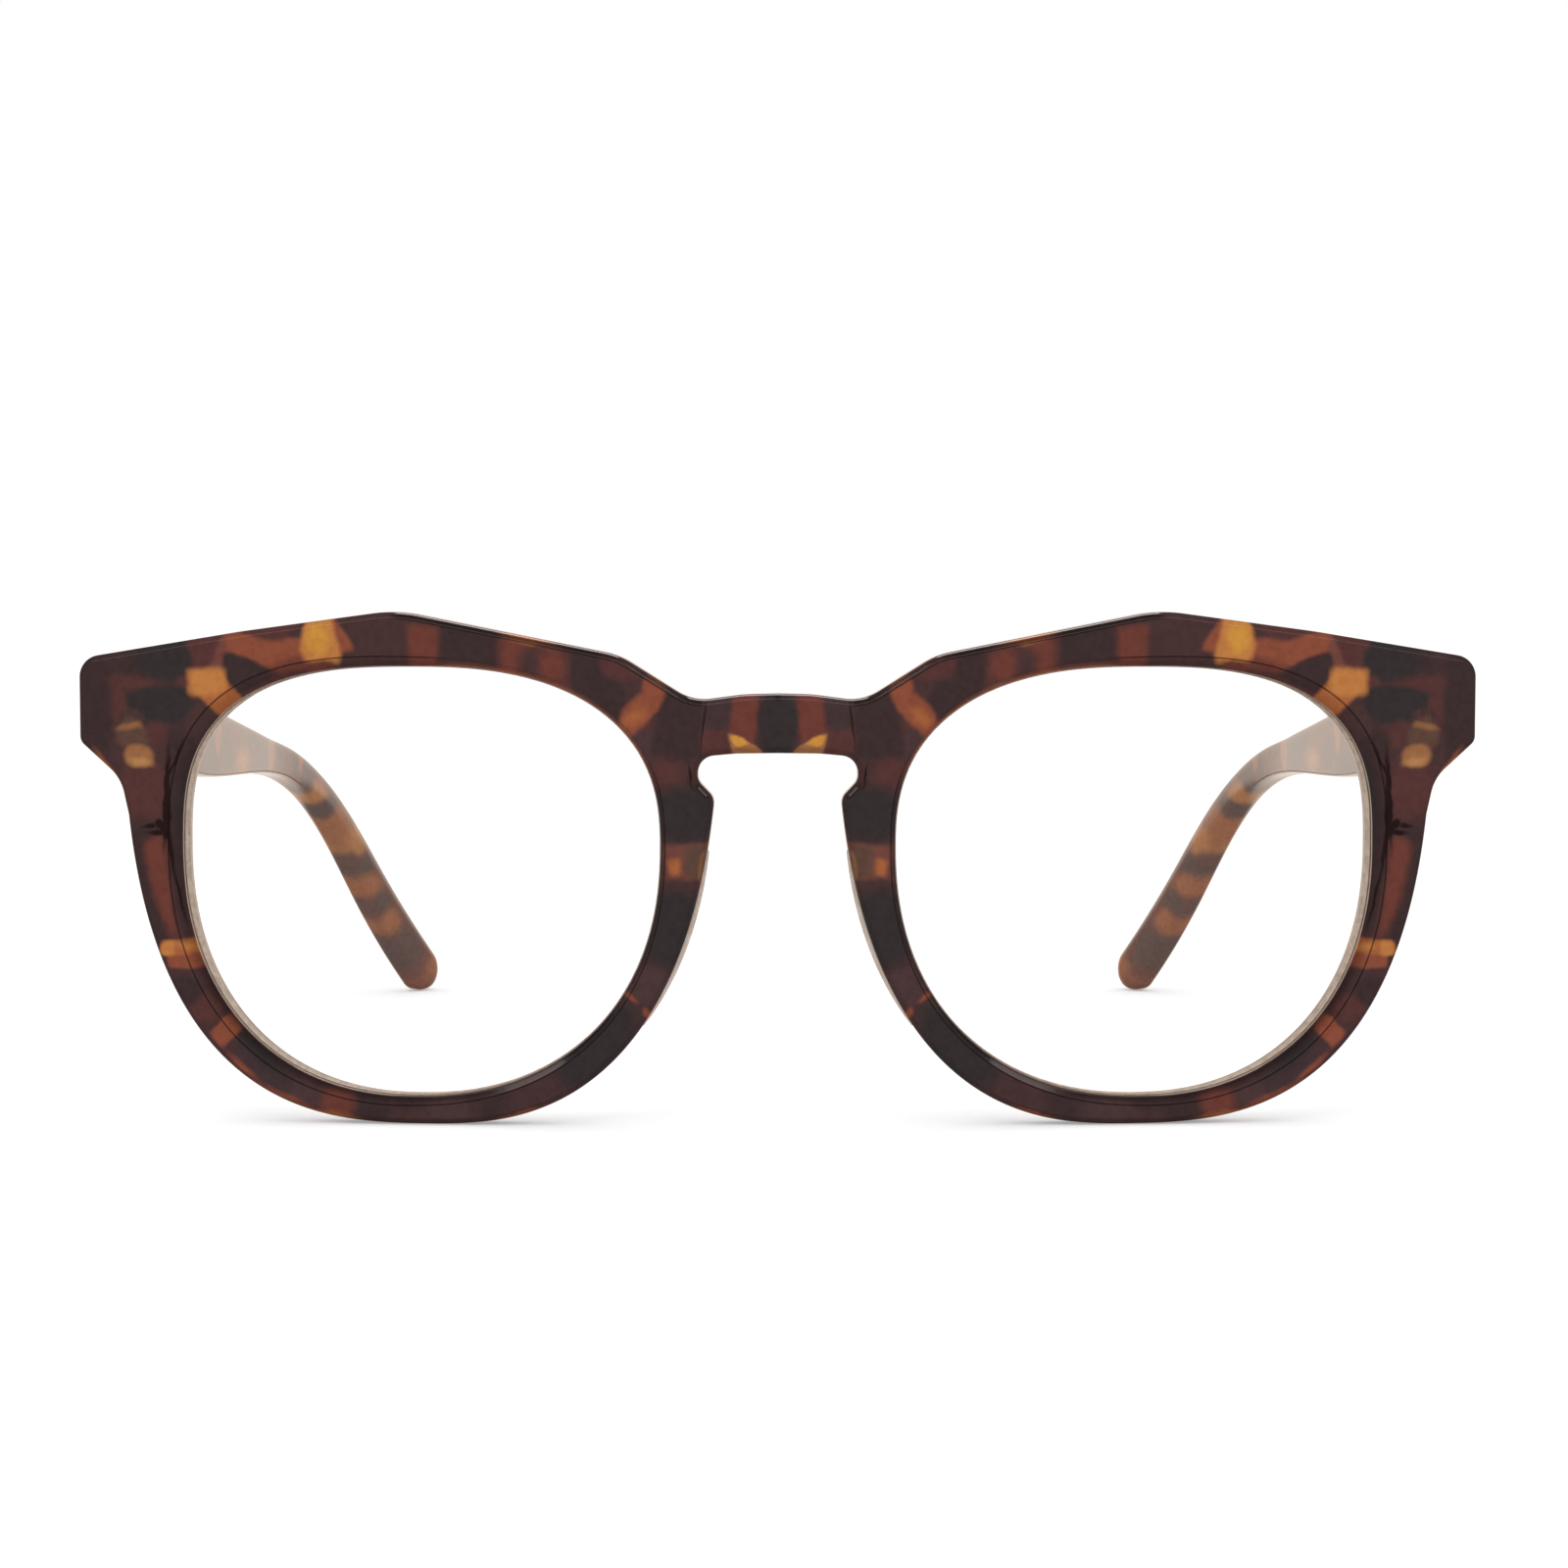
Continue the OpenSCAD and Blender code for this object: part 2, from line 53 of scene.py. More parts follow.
# Sizes of the part
LENS_WIDTH, LENS_HEIGHT, LENS_THICKNESS, LENS_CROWN, BEVEL_HEIGHT = 49, 43.9, 1.7, 1.6, 0.6
BRIDGE_WIDTH, FRONT_THICKNESS, FRONT_RADIUS = 22, 4, 400
RIM_BELOW, RIM_NASAL, RIM_TEMPORAL, BROW_RISE = 2.8, 5.9, 6.2, 5.5
END_REACH, END_HEIGHT, BAR_HEIGHT, BAR_DROP = 10.6, 8.2, 5.9, 2.7
LOW_POWER, TOP_NASAL_POWER, TOP_TEMPORAL_POWER = 2.24, 2.45, 2.8
NASAL_POWER, TEMPORAL_POWER = 2.54, 2.755
EDGE_BEVEL, OPENING_BEVEL, GROOVE_GAP = 0.6, 1.3, 0.1
SQUARE_EDGE, NARROW_BEVEL = 0.05, 0.35
PAD_LENGTH, PAD_REACH, PAD_PROUD, PAD_THICKNESS, PAD_SPLAY = 17.5, 5.2, 0.35, 3, 24
TEMPLE_LENGTH, EAR_BEND_AT, EAR_BEND_LENGTH = 145, 85, 43.5
SHAFT_SLOPE, TIP_SLOPE, SHAFT_TOE_IN, TIP_TOE_IN = 7.4, 45.3, 3.1, 35.4
TEMPLE_THICKNESS, TEMPLE_HEIGHT, TEMPLE_WAIST, TIP_HEIGHT = 3.7, 9.5, 3.9, 5.8
SHAFT_POWER, TIP_POWER, TIP_THINNING, TIP_ROUNDING = 7, 2.8, 0.45, 3.2
BUTT_GAP, PLATE_SKIN, PAD_SINK = 0.3, 0.02, 0.1

# Landmarks of the left half
NASAL_X = BRIDGE_WIDTH / 2 + BEVEL_HEIGHT
OPENING_WIDTH = LENS_WIDTH - 2 * BEVEL_HEIGHT
OPENING_HEIGHT = LENS_HEIGHT - 2 * BEVEL_HEIGHT
TEMPORAL_X = NASAL_X + OPENING_WIDTH
TOP_Z = RIM_BELOW + OPENING_HEIGHT
CROWN_X = NASAL_X + 0.51 * OPENING_WIDTH
CROWN_Z = RIM_BELOW + 0.585 * OPENING_HEIGHT
END_X = TEMPORAL_X + END_REACH
END_TOP_Z = TOP_Z + 0.7
TEMPLE_TOP_Z = END_TOP_Z - 0.3
RIM_X, RIM_Z = CROWN_X - 1.4, TOP_Z + 1
BAR_TOP_Z = TOP_Z - BAR_DROP
BAR_LOW_Z = BAR_TOP_Z - BAR_HEIGHT
KEYHOLE_X = NASAL_X - 3.2
PAD_MID_Z = CROWN_Z - 9.4
GROOVE_DEPTH = FRONT_THICKNESS / 2
GROOVE_HALF = LENS_THICKNESS / 2 + GROOVE_GAP
PATH_LENGTH = 1.015 * TEMPLE_LENGTH
TOE_IN_START = 0.936 * EAR_BEND_AT
FACE_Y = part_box("front")[0].y / MM

# Fineness of the front's mesh: stations on the rim, and the longest step along an arc,
# along a straight side and in the angle that faces the edge
RIM_STATIONS, ARC_STEP, SIDE_STEP, ANGLE_STEP = 261, 0.3, 0.5, 0.9


def mix(a, b, t):
    return a + (b - a) * t


def ease(t):
    u = np.clip(t, 0, 1)
    return u * u * (3 - 2 * u)


def unit(v):
    return v / np.linalg.norm(v, axis=-1, keepdims=True)


def bent(x, z, depth):
    """Points this deep under the face of the sheet, which is bent to a cylinder."""
    x, z, depth = np.broadcast_arrays(np.asarray(x, float), z, depth)
    turn = np.arcsin(x / FRONT_RADIUS)
    r = FRONT_RADIUS - depth
    return np.stack([r * np.sin(turn), FACE_Y + FRONT_RADIUS - r * np.cos(turn), z], axis=-1)


def sheet_y(x, depth):
    """Where the surface this deep in the sheet stands at x."""
    return FACE_Y + FRONT_RADIUS - np.sqrt((FRONT_RADIUS - depth) ** 2 - x * x)


def quadrant(angle, reach_x, reach_z, power):
    """A superellipse round its middle, with its own reach and power for each angle."""
    c, s = np.abs(np.cos(angle)), np.abs(np.sin(angle))
    r = ((c / reach_x) ** power + (s / reach_z) ** power) ** (-1 / power)
    return r * np.cos(angle), r * np.sin(angle)


def opening(angle, grow=0.0):
    """Edge of the lens opening at these angles, grown outwards."""
    nasal, low = np.cos(angle) < 0, np.sin(angle) < 0
    across = np.where(nasal, CROWN_X - NASAL_X, TEMPORAL_X - CROWN_X)
    up = np.where(low, CROWN_Z - RIM_BELOW, TOP_Z - CROWN_Z)
    power = np.where(low, LOW_POWER, np.where(nasal, TOP_NASAL_POWER, TOP_TEMPORAL_POWER))
    x, z = quadrant(angle, across + grow, up + grow, power)
    return CROWN_X + x, CROWN_Z + z


# Angle under the level line where the rim's curve starts, at the cheek
RIM_START = math.atan((RIM_Z - CROWN_Z - 2.5) / (TEMPORAL_X - RIM_X + RIM_TEMPORAL))


def rim_edge(t):
    """Outer edge of the rim, from the cheek round the bottom to the nose."""
    angle = -mix(RIM_START, math.pi - RIM_START, t)
    nasal = np.cos(angle) < 0
    across = np.where(nasal, RIM_X - NASAL_X + RIM_NASAL, TEMPORAL_X - RIM_X + RIM_TEMPORAL)
    x, z = quadrant(angle, across, RIM_Z, np.where(nasal, NASAL_POWER, TEMPORAL_POWER))
    return RIM_X + x, RIM_Z + z


def nose_side(z):
    """Where the rim's nose side stands at a height."""
    reach = RIM_X - NASAL_X + RIM_NASAL
    return RIM_X - reach * (1 - ((RIM_Z - z) / RIM_Z) ** NASAL_POWER) ** (1 / NASAL_POWER)


def outline():
    """Stations round the left half: x, z and the opening angle that faces the edge."""
    nose_x, nose_z = (float(v) for v in rim_edge(1.0))
    cheek_x, cheek_z = (float(v) for v in rim_edge(0.0))
    brow_z = TOP_Z + BROW_RISE
    corners = [
        (nose_x, nose_z, 0, 180), (nose_x - 0.05, nose_z + 0.8, 1.4, 177),
        (KEYHOLE_X - 0.5, nose_z + 2.5, 1.4, 167), (KEYHOLE_X - 0.5, BAR_LOW_Z - 0.4, 1.7, 157.5),
        (KEYHOLE_X / 2, BAR_LOW_Z - 0.05, 14, 155.5), (0, BAR_LOW_Z, 0, 154.5),
        (0, BAR_TOP_Z, 0, 152.5), (0.4 * KEYHOLE_X, BAR_TOP_Z - 0.08, 16, 151.5),
        (KEYHOLE_X, BAR_TOP_Z - 0.75, 5, 147.5), (NASAL_X + 4.1, TOP_Z + 1.1, 8, 134),
        (CROWN_X + 1.9, brow_z, 14, 87),
        (CROWN_X + 17.5, mix(brow_z, END_TOP_Z, 0.48) + 0.2, 60, 60),
        (END_X, END_TOP_Z, 2.2, 36), (END_X - 0.05, END_TOP_Z - END_HEIGHT - 0.1, 1.2, 20),
        (cheek_x + 0.8, cheek_z + 3.6, 4.5, 11), (cheek_x, cheek_z, 0, 0),
    ]
    t = np.linspace(0, 1, RIM_STATIONS)
    x, z = rim_edge(t)
    stations = list(zip(x, z, np.where(t < 1, -180 * t, 180)))

    def corner_points(i):
        b = corners[i]
        if b[2] == 0:
            return [(b[0], b[1], b[3])]
        a, c = corners[i - 1], corners[i + 1]
        here = np.array(b[:2])
        back, on = unit(np.array(a[:2]) - here), unit(np.array(c[:2]) - here)
        half = math.acos(back @ on) / 2
        run, sweep = b[2] / math.tan(half), math.pi / 2 - half
        centre = here + unit(back + on) * b[2] / math.sin(half)
        spoke, side = -unit(back + on), unit(on - back)
        steps = max(4, math.ceil(sweep * b[2] / ARC_STEP))
        points = []
        for k in range(-steps, steps + 1):
            u = k / steps
            p = centre + b[2] * (math.cos(sweep * u) * spoke + math.sin(sweep * u) * side)
            near = a if u < 0 else c
            leg = math.dist(near[:2], b[:2])
            points.append((p[0], p[1], mix(b[3], near[3], abs(u) * run / leg)))
        return points

    last = corner_points(0)
    for i in range(1, len(corners)):
        points = corner_points(i)
        a, b = np.array(last[-1]), np.array(points[0])
        count = math.ceil(max(math.dist(a[:2], b[:2]) / SIDE_STEP, abs(b[2] - a[2]) / ANGLE_STEP))
        stations += [tuple(mix(a, b, k / count)) for k in range(1, count)]
        if i < len(corners) - 1:
            stations += points
        last = points
    return np.array(stations)


def mesh_object(name, points, faces):
    mesh = bpy.data.meshes.new(name)
    mesh.from_pydata((np.asarray(points) * MM).tolist(), [], faces)
    mesh.validate()
    mesh.update()
    piece = bpy.data.objects.new(name, mesh)
    bpy.context.scene.collection.objects.link(piece)
    mesh.shade_smooth()
    return piece


def turn_outwards(mesh):
    """Drops the points that belong to no face and turns all faces outwards."""
    work = bmesh.new()
    work.from_mesh(mesh)
    bmesh.ops.delete(work, geom=[v for v in work.verts if not v.link_faces], context="VERTS")
    bmesh.ops.recalc_face_normals(work, faces=work.faces)
    work.to_mesh(mesh)
    work.free()


def soften(piece, width, limit):
    """Rounds the edges sharper than limit degrees and evens the shading."""
    bevel = piece.modifiers.new("rounded_edges", "BEVEL")
    bevel.width = width * MM
    bevel.segments = 3
    bevel.limit_method = "ANGLE"
    bevel.angle_limit = math.radians(limit)
    shading = piece.modifiers.new("even_shading", "WEIGHTED_NORMAL")
    shading.weight = 60
    shading.keep_sharp = False


# A rounded corner is a curve of these steps with a support point before and after it.
ROUNDING_STEPS = (0, 0.2, 0.4, 0.6, 0.8, 1)
CORNER_COLUMNS = len(ROUNDING_STEPS) + 2
SUPPORT_AT = 1.3
LONGEST_RUN = 0.42


def rounded(corners, cuts):
    """An open profile with each inner corner rounded off, and a support point beside each
    rounding that keeps the flats flat. Each point is a row of arrays, one value a station."""
    profile = [corners[0]]
    for i, cut in enumerate(cuts, 1):
        here, before, after = corners[i], corners[i - 1], corners[i + 1]
        if cut == 0:
            profile.append(here)
            continue
        back, on = before - here, after - here
        back_length = np.hypot(back[0], back[1])
        on_length = np.hypot(on[0], on[1])
        run_back = np.minimum(cut / back_length, LONGEST_RUN)
        run_on = np.minimum(cut / on_length, LONGEST_RUN)
        start, end = here + back * run_back, here + on * run_on
        profile.append(here + back * run_back * SUPPORT_AT)
        for u in ROUNDING_STEPS:
            profile.append((1 - u) ** 2 * start + 2 * u * (1 - u) * here + u * u * end)
        profile.append(here + on * run_on * SUPPORT_AT)
    profile.append(corners[-1])
    return profile


def build_front():
    stations = outline()
    x, z, angle = stations[:, 0], stations[:, 1], np.radians(stations[:, 2])
    count = len(stations)
    middle = x == 0
    along = unit(np.roll(stations[:, :2], -1, 0) - np.roll(stations[:, :2], 1, 0))

    def inset(bevel):
        ix, iz = x + bevel * along[:, 1], z - bevel * along[:, 0]
        on_bar = mix(BAR_LOW_Z + bevel, BAR_TOP_Z - bevel, (z - BAR_LOW_Z) / BAR_HEIGHT)
        return np.where(middle, 0, ix), np.where(middle, on_bar, iz)

    def corner(inwards, depth):
        return np.stack(np.broadcast_arrays(x * 0 + inwards, depth))

    # The back edge stays square where a nose pad is bonded on.
    from_pad = np.where(x < RIM_X, np.abs(z - PAD_MID_Z) - PAD_LENGTH / 2, np.inf)
    square = mix(SQUARE_EDGE, EDGE_BEVEL, ease((from_pad - 0.5) / 1.6))
    # The bevel round the opening is widest at the temple and narrows towards the nose.
    facing = OPENING_BEVEL * mix(NARROW_BEVEL, 1, (1 + np.cos(angle)) / 2)
    wall_front, wall_back = GROOVE_DEPTH - GROOVE_HALF, GROOVE_DEPTH + GROOVE_HALF
    # Both profiles are given as the distance into the material and the depth, and the cuts
    # are how far each rounding reaches along its sides.
    opening_cuts = [0.15, 0.05, 0, 0.05, 0.18, 0.1]
    edge_cuts = [0.12, 0.34, 0.2, 0.15]
    round_opening = rounded([
        corner(0.5, FRONT_THICKNESS), corner(0, FRONT_THICKNESS), corner(0, wall_back),
        corner(BEVEL_HEIGHT + GROOVE_GAP, GROOVE_DEPTH), corner(0, wall_front),
        corner(0, EDGE_BEVEL), corner(facing, 0), corner(facing + 0.35, 0),
    ], opening_cuts)
    round_edge = rounded([
        corner(EDGE_BEVEL + 0.3, 0), corner(EDGE_BEVEL, 0), corner(0, EDGE_BEVEL),
        corner(0, FRONT_THICKNESS - square), corner(square, FRONT_THICKNESS),
        corner(np.maximum(square, 0.1) + 0.3, FRONT_THICKNESS),
    ], edge_cuts)
    inner = [np.stack([*opening(angle, g), depth]) for g, depth in round_opening]
    outer = [np.stack([*inset(d), depth]) for d, depth in round_edge]
    # Columns across the face and the back follow the sheet's bend.
    across = [mix(inner[-1], outer[0], t) for t in (0.25, 0.5, 0.75)]
    behind = [mix(outer[-1], inner[0], t) for t in (0.25, 0.5, 0.75)]
    columns = inner + across + outer + behind
    ring = np.stack([bent(*column) for column in columns], axis=1)
    rows = ring.shape[1]
    edge_from = len(inner) + len(across)
    edge_to = edge_from + len(outer) - 1
    half = ring.reshape(-1, 3)
    points = np.concatenate([half, half * [-1, 1, 1]])

    def right(i):
        return i if middle[i // rows] and edge_from <= i % rows <= edge_to else i + len(half)

    faces = []
    for k in range(count):
        n = (k + 1) % count
        seam = middle[k] and middle[n]
        for j in range(rows):
            m = (j + 1) % rows
            if not (seam and edge_from <= j < edge_to):
                a, b, c, d = k * rows + j, n * rows + j, n * rows + m, k * rows + m
                faces += [(d, c, b, a), tuple(right(i) for i in (a, b, c, d))]
    piece = mesh_object("front_acetate", points, faces)
    mesh = piece.data

    def paint(name, values):
        """Stores one number a point: values maps a column to one number, or one a station."""
        table = np.zeros((count, rows))
        for column, value in values.items():
            table[:, column] = value
        layer = mesh.attributes.new(name, "FLOAT", "POINT")
        layer.data.foreach_set("value", np.tile(table.ravel(), 2))

    # Painted shade: dark lines in the crease round the opening, but not under the brow, and on the
    # outer bevel where it faces up and towards the nose, stand for shade and dark reflections there.
    degrees = stations[:, 2] % 360
    under_brow = ease((degrees - 92) / 12) * ease((168 - degrees) / 12)
    outward = np.stack([-along[:, 1], along[:, 0]], -1)
    faces_nose = ease((outward[:, 1] - 0.3) / 0.5) * ease((0.03 - outward[:, 0]) / 0.1)
    back_corner = 1
    crease = len(inner) - 1 - CORNER_COLUMNS
    wall_corner = crease - CORNER_COLUMNS
    open_round = 1 - under_brow
    crease_shares = (0, 0.2, 0.8, 1, 1, 0.8, 0.2, 0)
    lines = {crease + j: v * open_round for j, v in enumerate(crease_shares)}
    # Painted shade: the bevel darkens towards the wall, most of all along the bottom.
    along_bottom = ease((degrees - 195) / 30) * ease((350 - degrees) / 30)
    darkened = open_round * mix(0.35, 1.0, along_bottom)
    bevel_shares = (0.3, 0.7, 0.95, 0.9)
    lines.update({wall_corner + 4 + j: v * darkened for j, v in enumerate(bevel_shares)})
    edge_shares = (0, 0.2, 0.7, 1, 1, 1, 1, 1, 1, 0.9)
    lines.update({edge_from + 1 + j: v * faces_nose for j, v in enumerate(edge_shares)})
    paint("painted_shade_line", lines)
    # Painted glow: light coming through the thin edge under the brow.
    glow_shares = (0.5, 1, 1, 1, 1, 0.5)
    paint("painted_edge_glow", {wall_corner + 2 + j: v * under_brow for j, v in enumerate(glow_shares)})
    # Painted reflection: the wall of each opening is made pale, standing for the white room that it
    # mirrors at a glancing angle.
    paint("wall_painted_reflection", {j: 1.0 for j in range(back_corner + 5, wall_corner + 3)})
    turn_outwards(mesh)
    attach(piece, "front_assembly")
    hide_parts("front")
    return piece


def loft(name, rings):
    """A closed skin over rings of points, with a flat cap on each end."""
    count, sides = rings.shape[:2]
    faces = [tuple(range(sides - 1, -1, -1)), tuple((count - 1) * sides + k for k in range(sides))]
    for i in range(count - 1):
        for k in range(sides):
            n = (k + 1) % sides
            faces.append((i * sides + k, i * sides + n, (i + 1) * sides + n, (i + 1) * sides + k))
    piece = mesh_object(name, rings.reshape(-1, 3), faces)
    turn_outwards(piece.data)
    return piece


def flip_sides(rings, side):
    return rings * [side, 1, 1]


def build_temple(side, label):
    shaft = np.linspace(0, EAR_BEND_AT, 61)[:-1]
    bend = np.linspace(EAR_BEND_AT, PATH_LENGTH - TIP_ROUNDING, 90)[:-1]
    tip = PATH_LENGTH - TIP_ROUNDING * np.cos(np.linspace(0, math.pi / 2, 26)) ** 2
    s = np.concatenate([shaft, bend, tip])

    def toe_in(at):
        share = np.clip((at - TOE_IN_START) / (PATH_LENGTH - TOE_IN_START), 0, 1)
        return np.radians(mix(SHAFT_TOE_IN, TIP_TOE_IN, share))

    def heading(at):
        share = ease((at - EAR_BEND_AT) / EAR_BEND_LENGTH)
        slope = np.radians(mix(SHAFT_SLOPE, TIP_SLOPE, share))
        toe = toe_in(at)
        level = np.cos(slope)
        return np.stack([-np.sin(toe) * level, np.cos(toe) * level, -np.sin(slope)], -1)

    inner_x = float(bent(END_X, 0, FRONT_THICKNESS)[0]) - TEMPLE_THICKNESS
    butt_y = float(sheet_y(inner_x + TEMPLE_THICKNESS, FRONT_THICKNESS)) + BUTT_GAP
    start = np.array([inner_x, butt_y, TEMPLE_TOP_Z])
    middle_s = (s[1:] + s[:-1]) / 2
    steps = np.diff(s)[:, None] * heading(middle_s)
    path = start + np.concatenate([np.zeros((1, 3)), np.cumsum(steps, 0)])
    toe = toe_in(s)
    out = np.stack([np.cos(toe), np.sin(toe), np.zeros_like(s)], -1)
    down = -np.cross(out, heading(s))

    knee, waist = 0.4 * EAR_BEND_AT, EAR_BEND_AT + 0.2 * EAR_BEND_LENGTH
    paddle = PATH_LENGTH - TIP_HEIGHT
    belly = 0.87 * TEMPLE_HEIGHT
    tall = np.where(
        s < knee, mix(TEMPLE_HEIGHT, belly, s / knee),
        np.where(s < waist, mix(belly, TEMPLE_WAIST, ease((s - knee) / (waist - knee))),
                 mix(TEMPLE_WAIST, TIP_HEIGHT, ease((s - waist) / (paddle - waist)))))
    power = mix(SHAFT_POWER, TIP_POWER, ease(0.4 + 1.2 * (s - EAR_BEND_AT) / EAR_BEND_LENGTH))
    left_over = PATH_LENGTH - s
    rounding = np.sqrt(np.clip(1 - (1 - left_over / (tall / 2)) ** 2, 0.002, None))
    close = np.where(left_over < tall / 2, rounding, 1)

    sides = 64
    angle = 2 * math.pi * (np.arange(sides) + 0.5) / sides
    c, w = np.cos(angle)[None], np.sin(angle)[None]
    root = 2 / power[:, None]
    # The inner face lies a hair inside the hinge plate that is set into it.
    half = TEMPLE_THICKNESS / 2 - PLATE_SKIN
    thinned = mix(TIP_THINNING, 1, close)[:, None]
    across = PLATE_SKIN + half * np.sign(c) * np.abs(c) ** root * thinned
    height = tall[:, None] / 2 * np.sign(w) * np.abs(w) ** root * close[:, None]
    centre = path + down * tall[:, None] / 2 + out * TEMPLE_THICKNESS / 2
    rings = centre[:, None] + out[:, None] * across[..., None] - down[:, None] * height[..., None]
    rings[0, :, 1] = sheet_y(rings[0, :, 0], FRONT_THICKNESS) + BUTT_GAP
    piece = loft(f"{label}_temple_acetate", flip_sides(rings, side))
    soften(piece, width=0.14, limit=50)
    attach(piece, f"{label}_temple")
    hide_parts(f"temple_{label}")
    return piece


def closed_curve(points, steps):
    """A smooth closed curve through points, which may be stacked rings of them."""
    before, after, beyond = (np.roll(points, n, axis=-2) for n in (1, -1, -2))
    parts = []
    for u in np.arange(steps) / steps:
        parts.append(0.5 * (2 * points + (after - before) * u
                            + (2 * before - 5 * points + 4 * after - beyond) * u * u
                            + (3 * points - before - 3 * after + beyond) * u ** 3))
    return np.stack(parts, axis=-2).reshape(*points.shape[:-2], -1, points.shape[-1])


def build_pad(side, label):
    t = np.linspace(0, 1, 49)
    z = PAD_MID_Z + PAD_LENGTH * (t - 0.5)
    swell = np.maximum(np.sin(math.pi * t), 0.0015) ** 0.7
    reach, root = PAD_REACH * swell, PAD_THICKNESS * mix(0.6, 1, swell)
    lean = math.tan(math.radians(PAD_SPLAY)) * reach
    edge = nose_side(z)
    slope = nose_side(z + 0.5) - nose_side(z - 0.5)
    inward = unit(np.stack([np.ones_like(z), -slope], -1))
    proud = PAD_PROUD * swell
    profile = np.stack([
        np.stack([0.1 - proud / 3, 0 * z - PAD_SINK], -1), np.stack([-proud, 0.25 * reach], -1),
        np.stack([0.1 * root - proud, 0.55 * reach], -1), np.stack([0.3 * lean, 0.85 * reach], -1),
        np.stack([0.62 * lean, reach], -1), np.stack([0.9 * lean, 0.97 * reach], -1),
        np.stack([lean, 0.75 * reach], -1), np.stack([0.35 * root + 0.6 * lean, 0.4 * reach], -1),
        np.stack([root, 0 * z - PAD_SINK], -1),
    ], axis=1)
    profile = closed_curve(profile, steps=5)
    flat_x = edge[:, None] + inward[:, None, 0] * profile[..., 0]
    flat_z = z[:, None] + inward[:, None, 1] * profile[..., 0]
    rings = bent(flat_x, flat_z, FRONT_THICKNESS + np.maximum(profile[..., 1], -PAD_SINK))
    piece = loft(f"{label}_pad_acetate", flip_sides(rings, side))
    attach(piece, "front_assembly")
    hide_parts(f"nose_pad_{label}")
    return piece


def build_lens(side, label):
    spokes, shares = 160, np.append(np.linspace(0.08, 0.96, 12), [0.985, 1])
    angle = 2 * math.pi * np.arange(spokes) / spokes
    edge = np.stack(opening(angle, -GROOVE_GAP), -1)
    centre = np.array([CROWN_X, CROWN_Z])

    def surface(depth):
        flat = mix(centre, edge[:, None], shares[None, :, None])
        crowned = GROOVE_DEPTH + depth - LENS_CROWN * (1 - shares ** 2)
        return bent(flat[..., 0], flat[..., 1], crowned)

    bevel = bent(*opening(angle, BEVEL_HEIGHT), GROOVE_DEPTH)[:, None]
    half = LENS_THICKNESS / 2
    spoke = np.concatenate([surface(-half), bevel, surface(half)[:, ::-1]], axis=1)
    row = spoke.shape[1]
    poles = [bent(*centre, GROOVE_DEPTH + d - LENS_CROWN) for d in (-half, half)]
    points = np.concatenate([spoke.reshape(-1, 3), poles]) * [side, 1, 1]
    pole = spokes * row
    faces, ground = [], []
    for k in range(spokes):
        a, b = k * row, (k + 1) % spokes * row
        faces += [(pole, a, b), (pole + 1, b + row - 1, a + row - 1)]
        ground += [False, False]
        for j in range(row - 1):
            faces.append((a + j, a + j + 1, b + j + 1, b + j))
            ground.append(len(shares) - 1 <= j <= len(shares))
    piece = mesh_object(f"{label}_lens", points, faces)
    turn_outwards(piece.data)
    # The ground edge of the lens takes the second material.
    piece.data.polygons.foreach_set("material_index", [int(g) for g in ground])
    piece.data.update()
    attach(piece, "front_assembly")
    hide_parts(f"lens_{label}")
    return piece


# Materials


class Graph:
    """Short calls for the nodes of one material or world."""

    def __init__(self, owner):
        owner.use_nodes = True
        self.tree = owner.node_tree
        self.tree.nodes.clear()

    def add(self, kind, inputs=None, **settings):
        node = self.tree.nodes.new(kind)
        for key, value in settings.items():
            setattr(node, key, value)
        for key, value in (inputs or {}).items():
            if isinstance(value, bpy.types.NodeSocket):
                self.tree.links.new(value, node.inputs[key])
            else:
                node.inputs[key].default_value = value
        return node

    def math(self, operation, a, b=0.0, c=0.0):
        return self.add("ShaderNodeMath", {0: a, 1: b, 2: c}, operation=operation).outputs[0]

    def vector(self, operation, a, b=(0, 0, 0)):
        node = self.add("ShaderNodeVectorMath", {0: a, 1: b}, operation=operation)
        return node.outputs["Value" if operation in ("LENGTH", "DOT_PRODUCT") else "Vector"]

    def ramp(self, value, low, high, to_low=0.0, to_high=1.0):
        node = self.add("ShaderNodeMapRange", {
            "Value": value, "From Min": low, "From Max": high, "To Min": to_low, "To Max": to_high,
        }, interpolation_type="SMOOTHSTEP")
        return node.outputs["Result"]

    def blend(self, share, a, b, way="MIX"):
        node = self.add("ShaderNodeMix", data_type="RGBA", blend_type=way)
        for key, value in ((0, share), (6, a), (7, b)):
            if isinstance(value, bpy.types.NodeSocket):
                self.tree.links.new(value, node.inputs[key])
            else:
                node.inputs[key].default_value = value
        return node.outputs[2]

    def noise(self, where, scale, detail=2.0, roughness=0.5):
        node = self.add("ShaderNodeTexNoise", {
            "Vector": where, "Scale": scale, "Detail": detail, "Roughness": roughness})
        return node.outputs

    def place(self):
        """Where a point of the piece lies at rest, in millimetres."""
        coordinates = self.add("ShaderNodeTexCoord").outputs["Object"]
        return self.vector("MULTIPLY", coordinates, (1 / MM, 1 / MM, 1 / MM))

    def attribute(self, name):
        return self.add("ShaderNodeAttribute", attribute_name=name).outputs["Fac"]

    def finish(self, shader):
        in_world = isinstance(self.tree.id_data, bpy.types.World)
        kind = "ShaderNodeOutputWorld" if in_world else "ShaderNodeOutputMaterial"
        self.tree.links.new(shader, self.add(kind).inputs["Surface"])


def new_material(name):
    material = bpy.data.materials.new(name)
    return material, Graph(material)


def colour(rgb):
    """A colour written as 0 to 255 in sRGB, as Blender's linear values."""
    linear = [v / 255 / 12.92 if v <= 10 else ((v / 255 + 0.055) / 1.055) ** 2.4 for v in rgb]
    return (*linear, 1.0)


